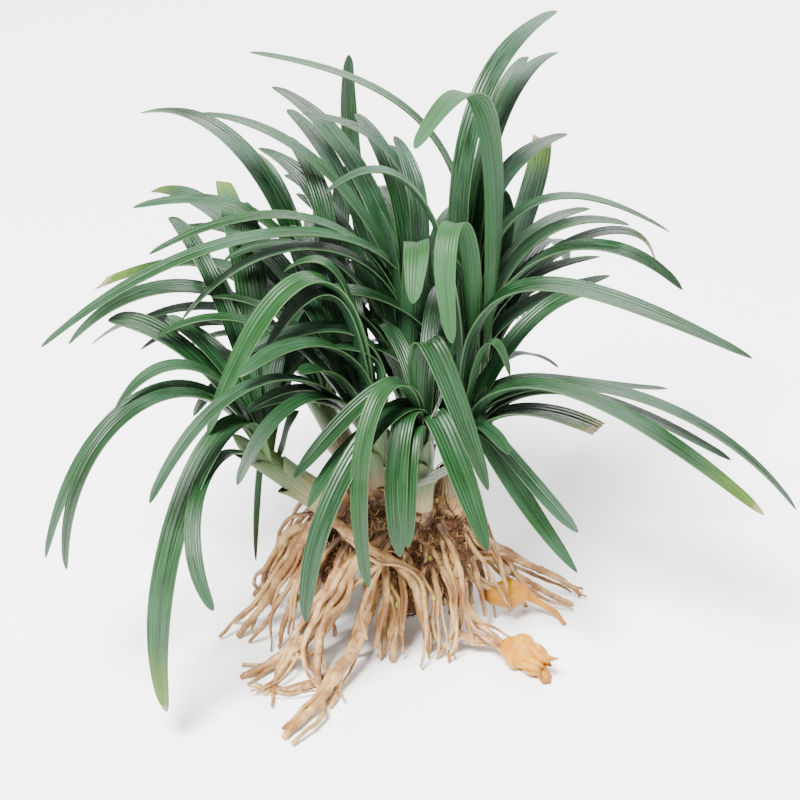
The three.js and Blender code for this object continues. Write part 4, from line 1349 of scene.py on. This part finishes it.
# %% Scrap and specks
SCRAPS = [
    (2.6, ((8.2, -5.2, 34.6), (5.8, -5.9, 33.4), (3.4, -6, 32.2), (0.6, -5.8, 31.2))),
    (2.4, ((5.2, -5, 35), (5, -5.5, 40), (5.2, -5.7, 44.5), (6.8, -5.5, 49))),
]
SCRAP_STATIONS = 24
SCRAP_ACROSS = np.array([0, -0.25, 1])
SCRAP_LENGTH = 8
SCRAP_GREY = (0.1, 0.125, 0.09)
SCRAP_PALE = (0.28, 0.3, 0.23)
SPECK_PIXELS = {"speck_a": (430, 560), "speck_b": (434, 598), "speck_c": (397, 606)}
SPECK_LINE = np.array([[0, 0.2, 0.7], [0, 0.2, 0], [0.1, 0.2, -0.6]])
SPECK_GIRTHS = np.array([0.12, 0.52, 0.12])
SPECK_GREEN = (0.5, 0.55, 0.06)


def ray_through(pixel):
    """From the camera through a pixel of the 800-pixel photograph."""
    x, y = ((value - PICTURE / 2) / VIEW_FOCUS_PIXELS for value in (pixel[0], PICTURE - pixel[1]))
    heading = camera.matrix_world.to_quaternion() @ Vector((x, y, -1))
    return Vector([float(v) for v in view_place]), heading.normalized()


def scrap_strand(width, path):
    path = np.array(path, float)
    t = np.linspace(0, 1, SCRAP_STATIONS)
    points = np.array([np.interp(t, np.linspace(0, 1, len(path)), path[:, i]) for i in range(3)]).T
    along = unit(np.gradient(points, axis=0))
    across = unit(SCRAP_ACROSS - along * (along @ SCRAP_ACROSS)[:, None])
    half = width / 2 * (0.7 + 0.3 * np.sin(t * 5)) * (1 - 0.3 * t)
    same = np.ones(len(t))
    return {"point": in_frame(points), "across": across, "upper": np.cross(along, across),
            "lean": along * (0.5 * np.sin(t * 40) * (t > 0.9))[:, None] * MM,
            "half": half * MM, "curl": 0.5 + t * 0.4, "share": t, "tone": same * 0.3,
            "length": same * SCRAP_LENGTH * MM}


def scrap_material():
    material, tree, shader = start_material("scrap", 0.75, 0.2)
    streaks = noise(tree, strand_place(tree, 6.0, 300.0), 2.0, 4.0)
    colour = mix(tree, ramp(tree, streaks, 0.35, 0.65), SCRAP_GREY, SCRAP_PALE)
    tree.links.new(colour, shader.inputs["Base Color"])
    bump(tree, shader, streaks, 0.8, 0.0004)
    return material


strands = [scrap_strand(*scrap) for scrap in SCRAPS]
scraps = grow("scraps", guide_mesh("scrap_lines", strands), blades, {
    "Thickness": 0.12, "Groove": 0.0, "Ribs": 0.1, "Sides": 40, "Material": scrap_material()})
take_place(scraps, "leaf")

speck_material, _, speck_shader = start_material("speck", 0.4)
speck_shader.inputs["Base Color"].default_value = (*SPECK_GREEN, 1)
speck_strands = []
bpy.context.view_layer.update()
speck_carriers = surface_tree(roots, clots, rootlets)
for name, pixel in SPECK_PIXELS.items():
    start, heading = ray_through(pixel)
    hit = speck_carriers.ray_cast(start, heading)[0]
    if hit is None:
        print(name, "found no root to sit on")
        continue
    point = np.array(hit)
    speck_strands.append({
        "point": point + SPECK_LINE * MM, "girth": SPECK_GIRTHS * MM,
        "share": np.array([0, 0.5, 1])})
specks = grow("specks", guide_mesh("speck_lines", speck_strands), tubes, {
    "Step": 0.2 * MM, "Waver": 0.0, "Sides": 14, "Material": speck_material})
take_place(specks, "root")

# %% [markdown]
# Plain pale surroundings: one large floor, an even pale sky, a big soft light high on the
# left in front, a weaker one on the right and one behind for the leaves' edges.

# %% Floor and light
FLOOR_HALF = 3
FLOOR_WHITE = 0.92
SKY_STRENGTH = 0.62
floor_mesh = bpy.data.meshes.new("floor")
floor_mesh.from_pydata(
    [(x * FLOOR_HALF, y * FLOOR_HALF, 0) for x, y in ((-1, -1), (1, -1), (1, 1), (-1, 1))],
    [], [(0, 1, 2, 3)])
floor = bpy.data.objects.new("floor", floor_mesh)
bpy.context.scene.collection.objects.link(floor)
floor_finish, _, floor_shader = start_material("floor", 0.9, 0.1)
floor_shader.inputs["Base Color"].default_value = (FLOOR_WHITE, FLOOR_WHITE, FLOOR_WHITE, 1)
floor_mesh.materials.append(floor_finish)

world = bpy.data.worlds.new("studio")
world.use_nodes = True
sky = world.node_tree.nodes["Background"].inputs
sky[0].default_value = (1, 1, 1, 1)
sky[1].default_value = SKY_STRENGTH
bpy.context.scene.world = world


def soft_light(name, place, size, power):
    light = bpy.data.lights.new(name, "AREA")
    light.size = size
    light.energy = power
    holder = bpy.data.objects.new(name, light)
    holder.location = place
    aim = Vector(place) - Vector((0, 0, 0.05))
    holder.rotation_euler = aim.to_track_quat("Z", "Y").to_euler()
    bpy.context.scene.collection.objects.link(holder)


soft_light("key", (-0.25, -0.4, 0.85), 0.35, 56)
soft_light("fill", (0.7, -0.4, 0.4), 0.5, 5)
soft_light("rim", (0.2, 0.7, 0.6), 0.5, 14)
print("floor and three lights")
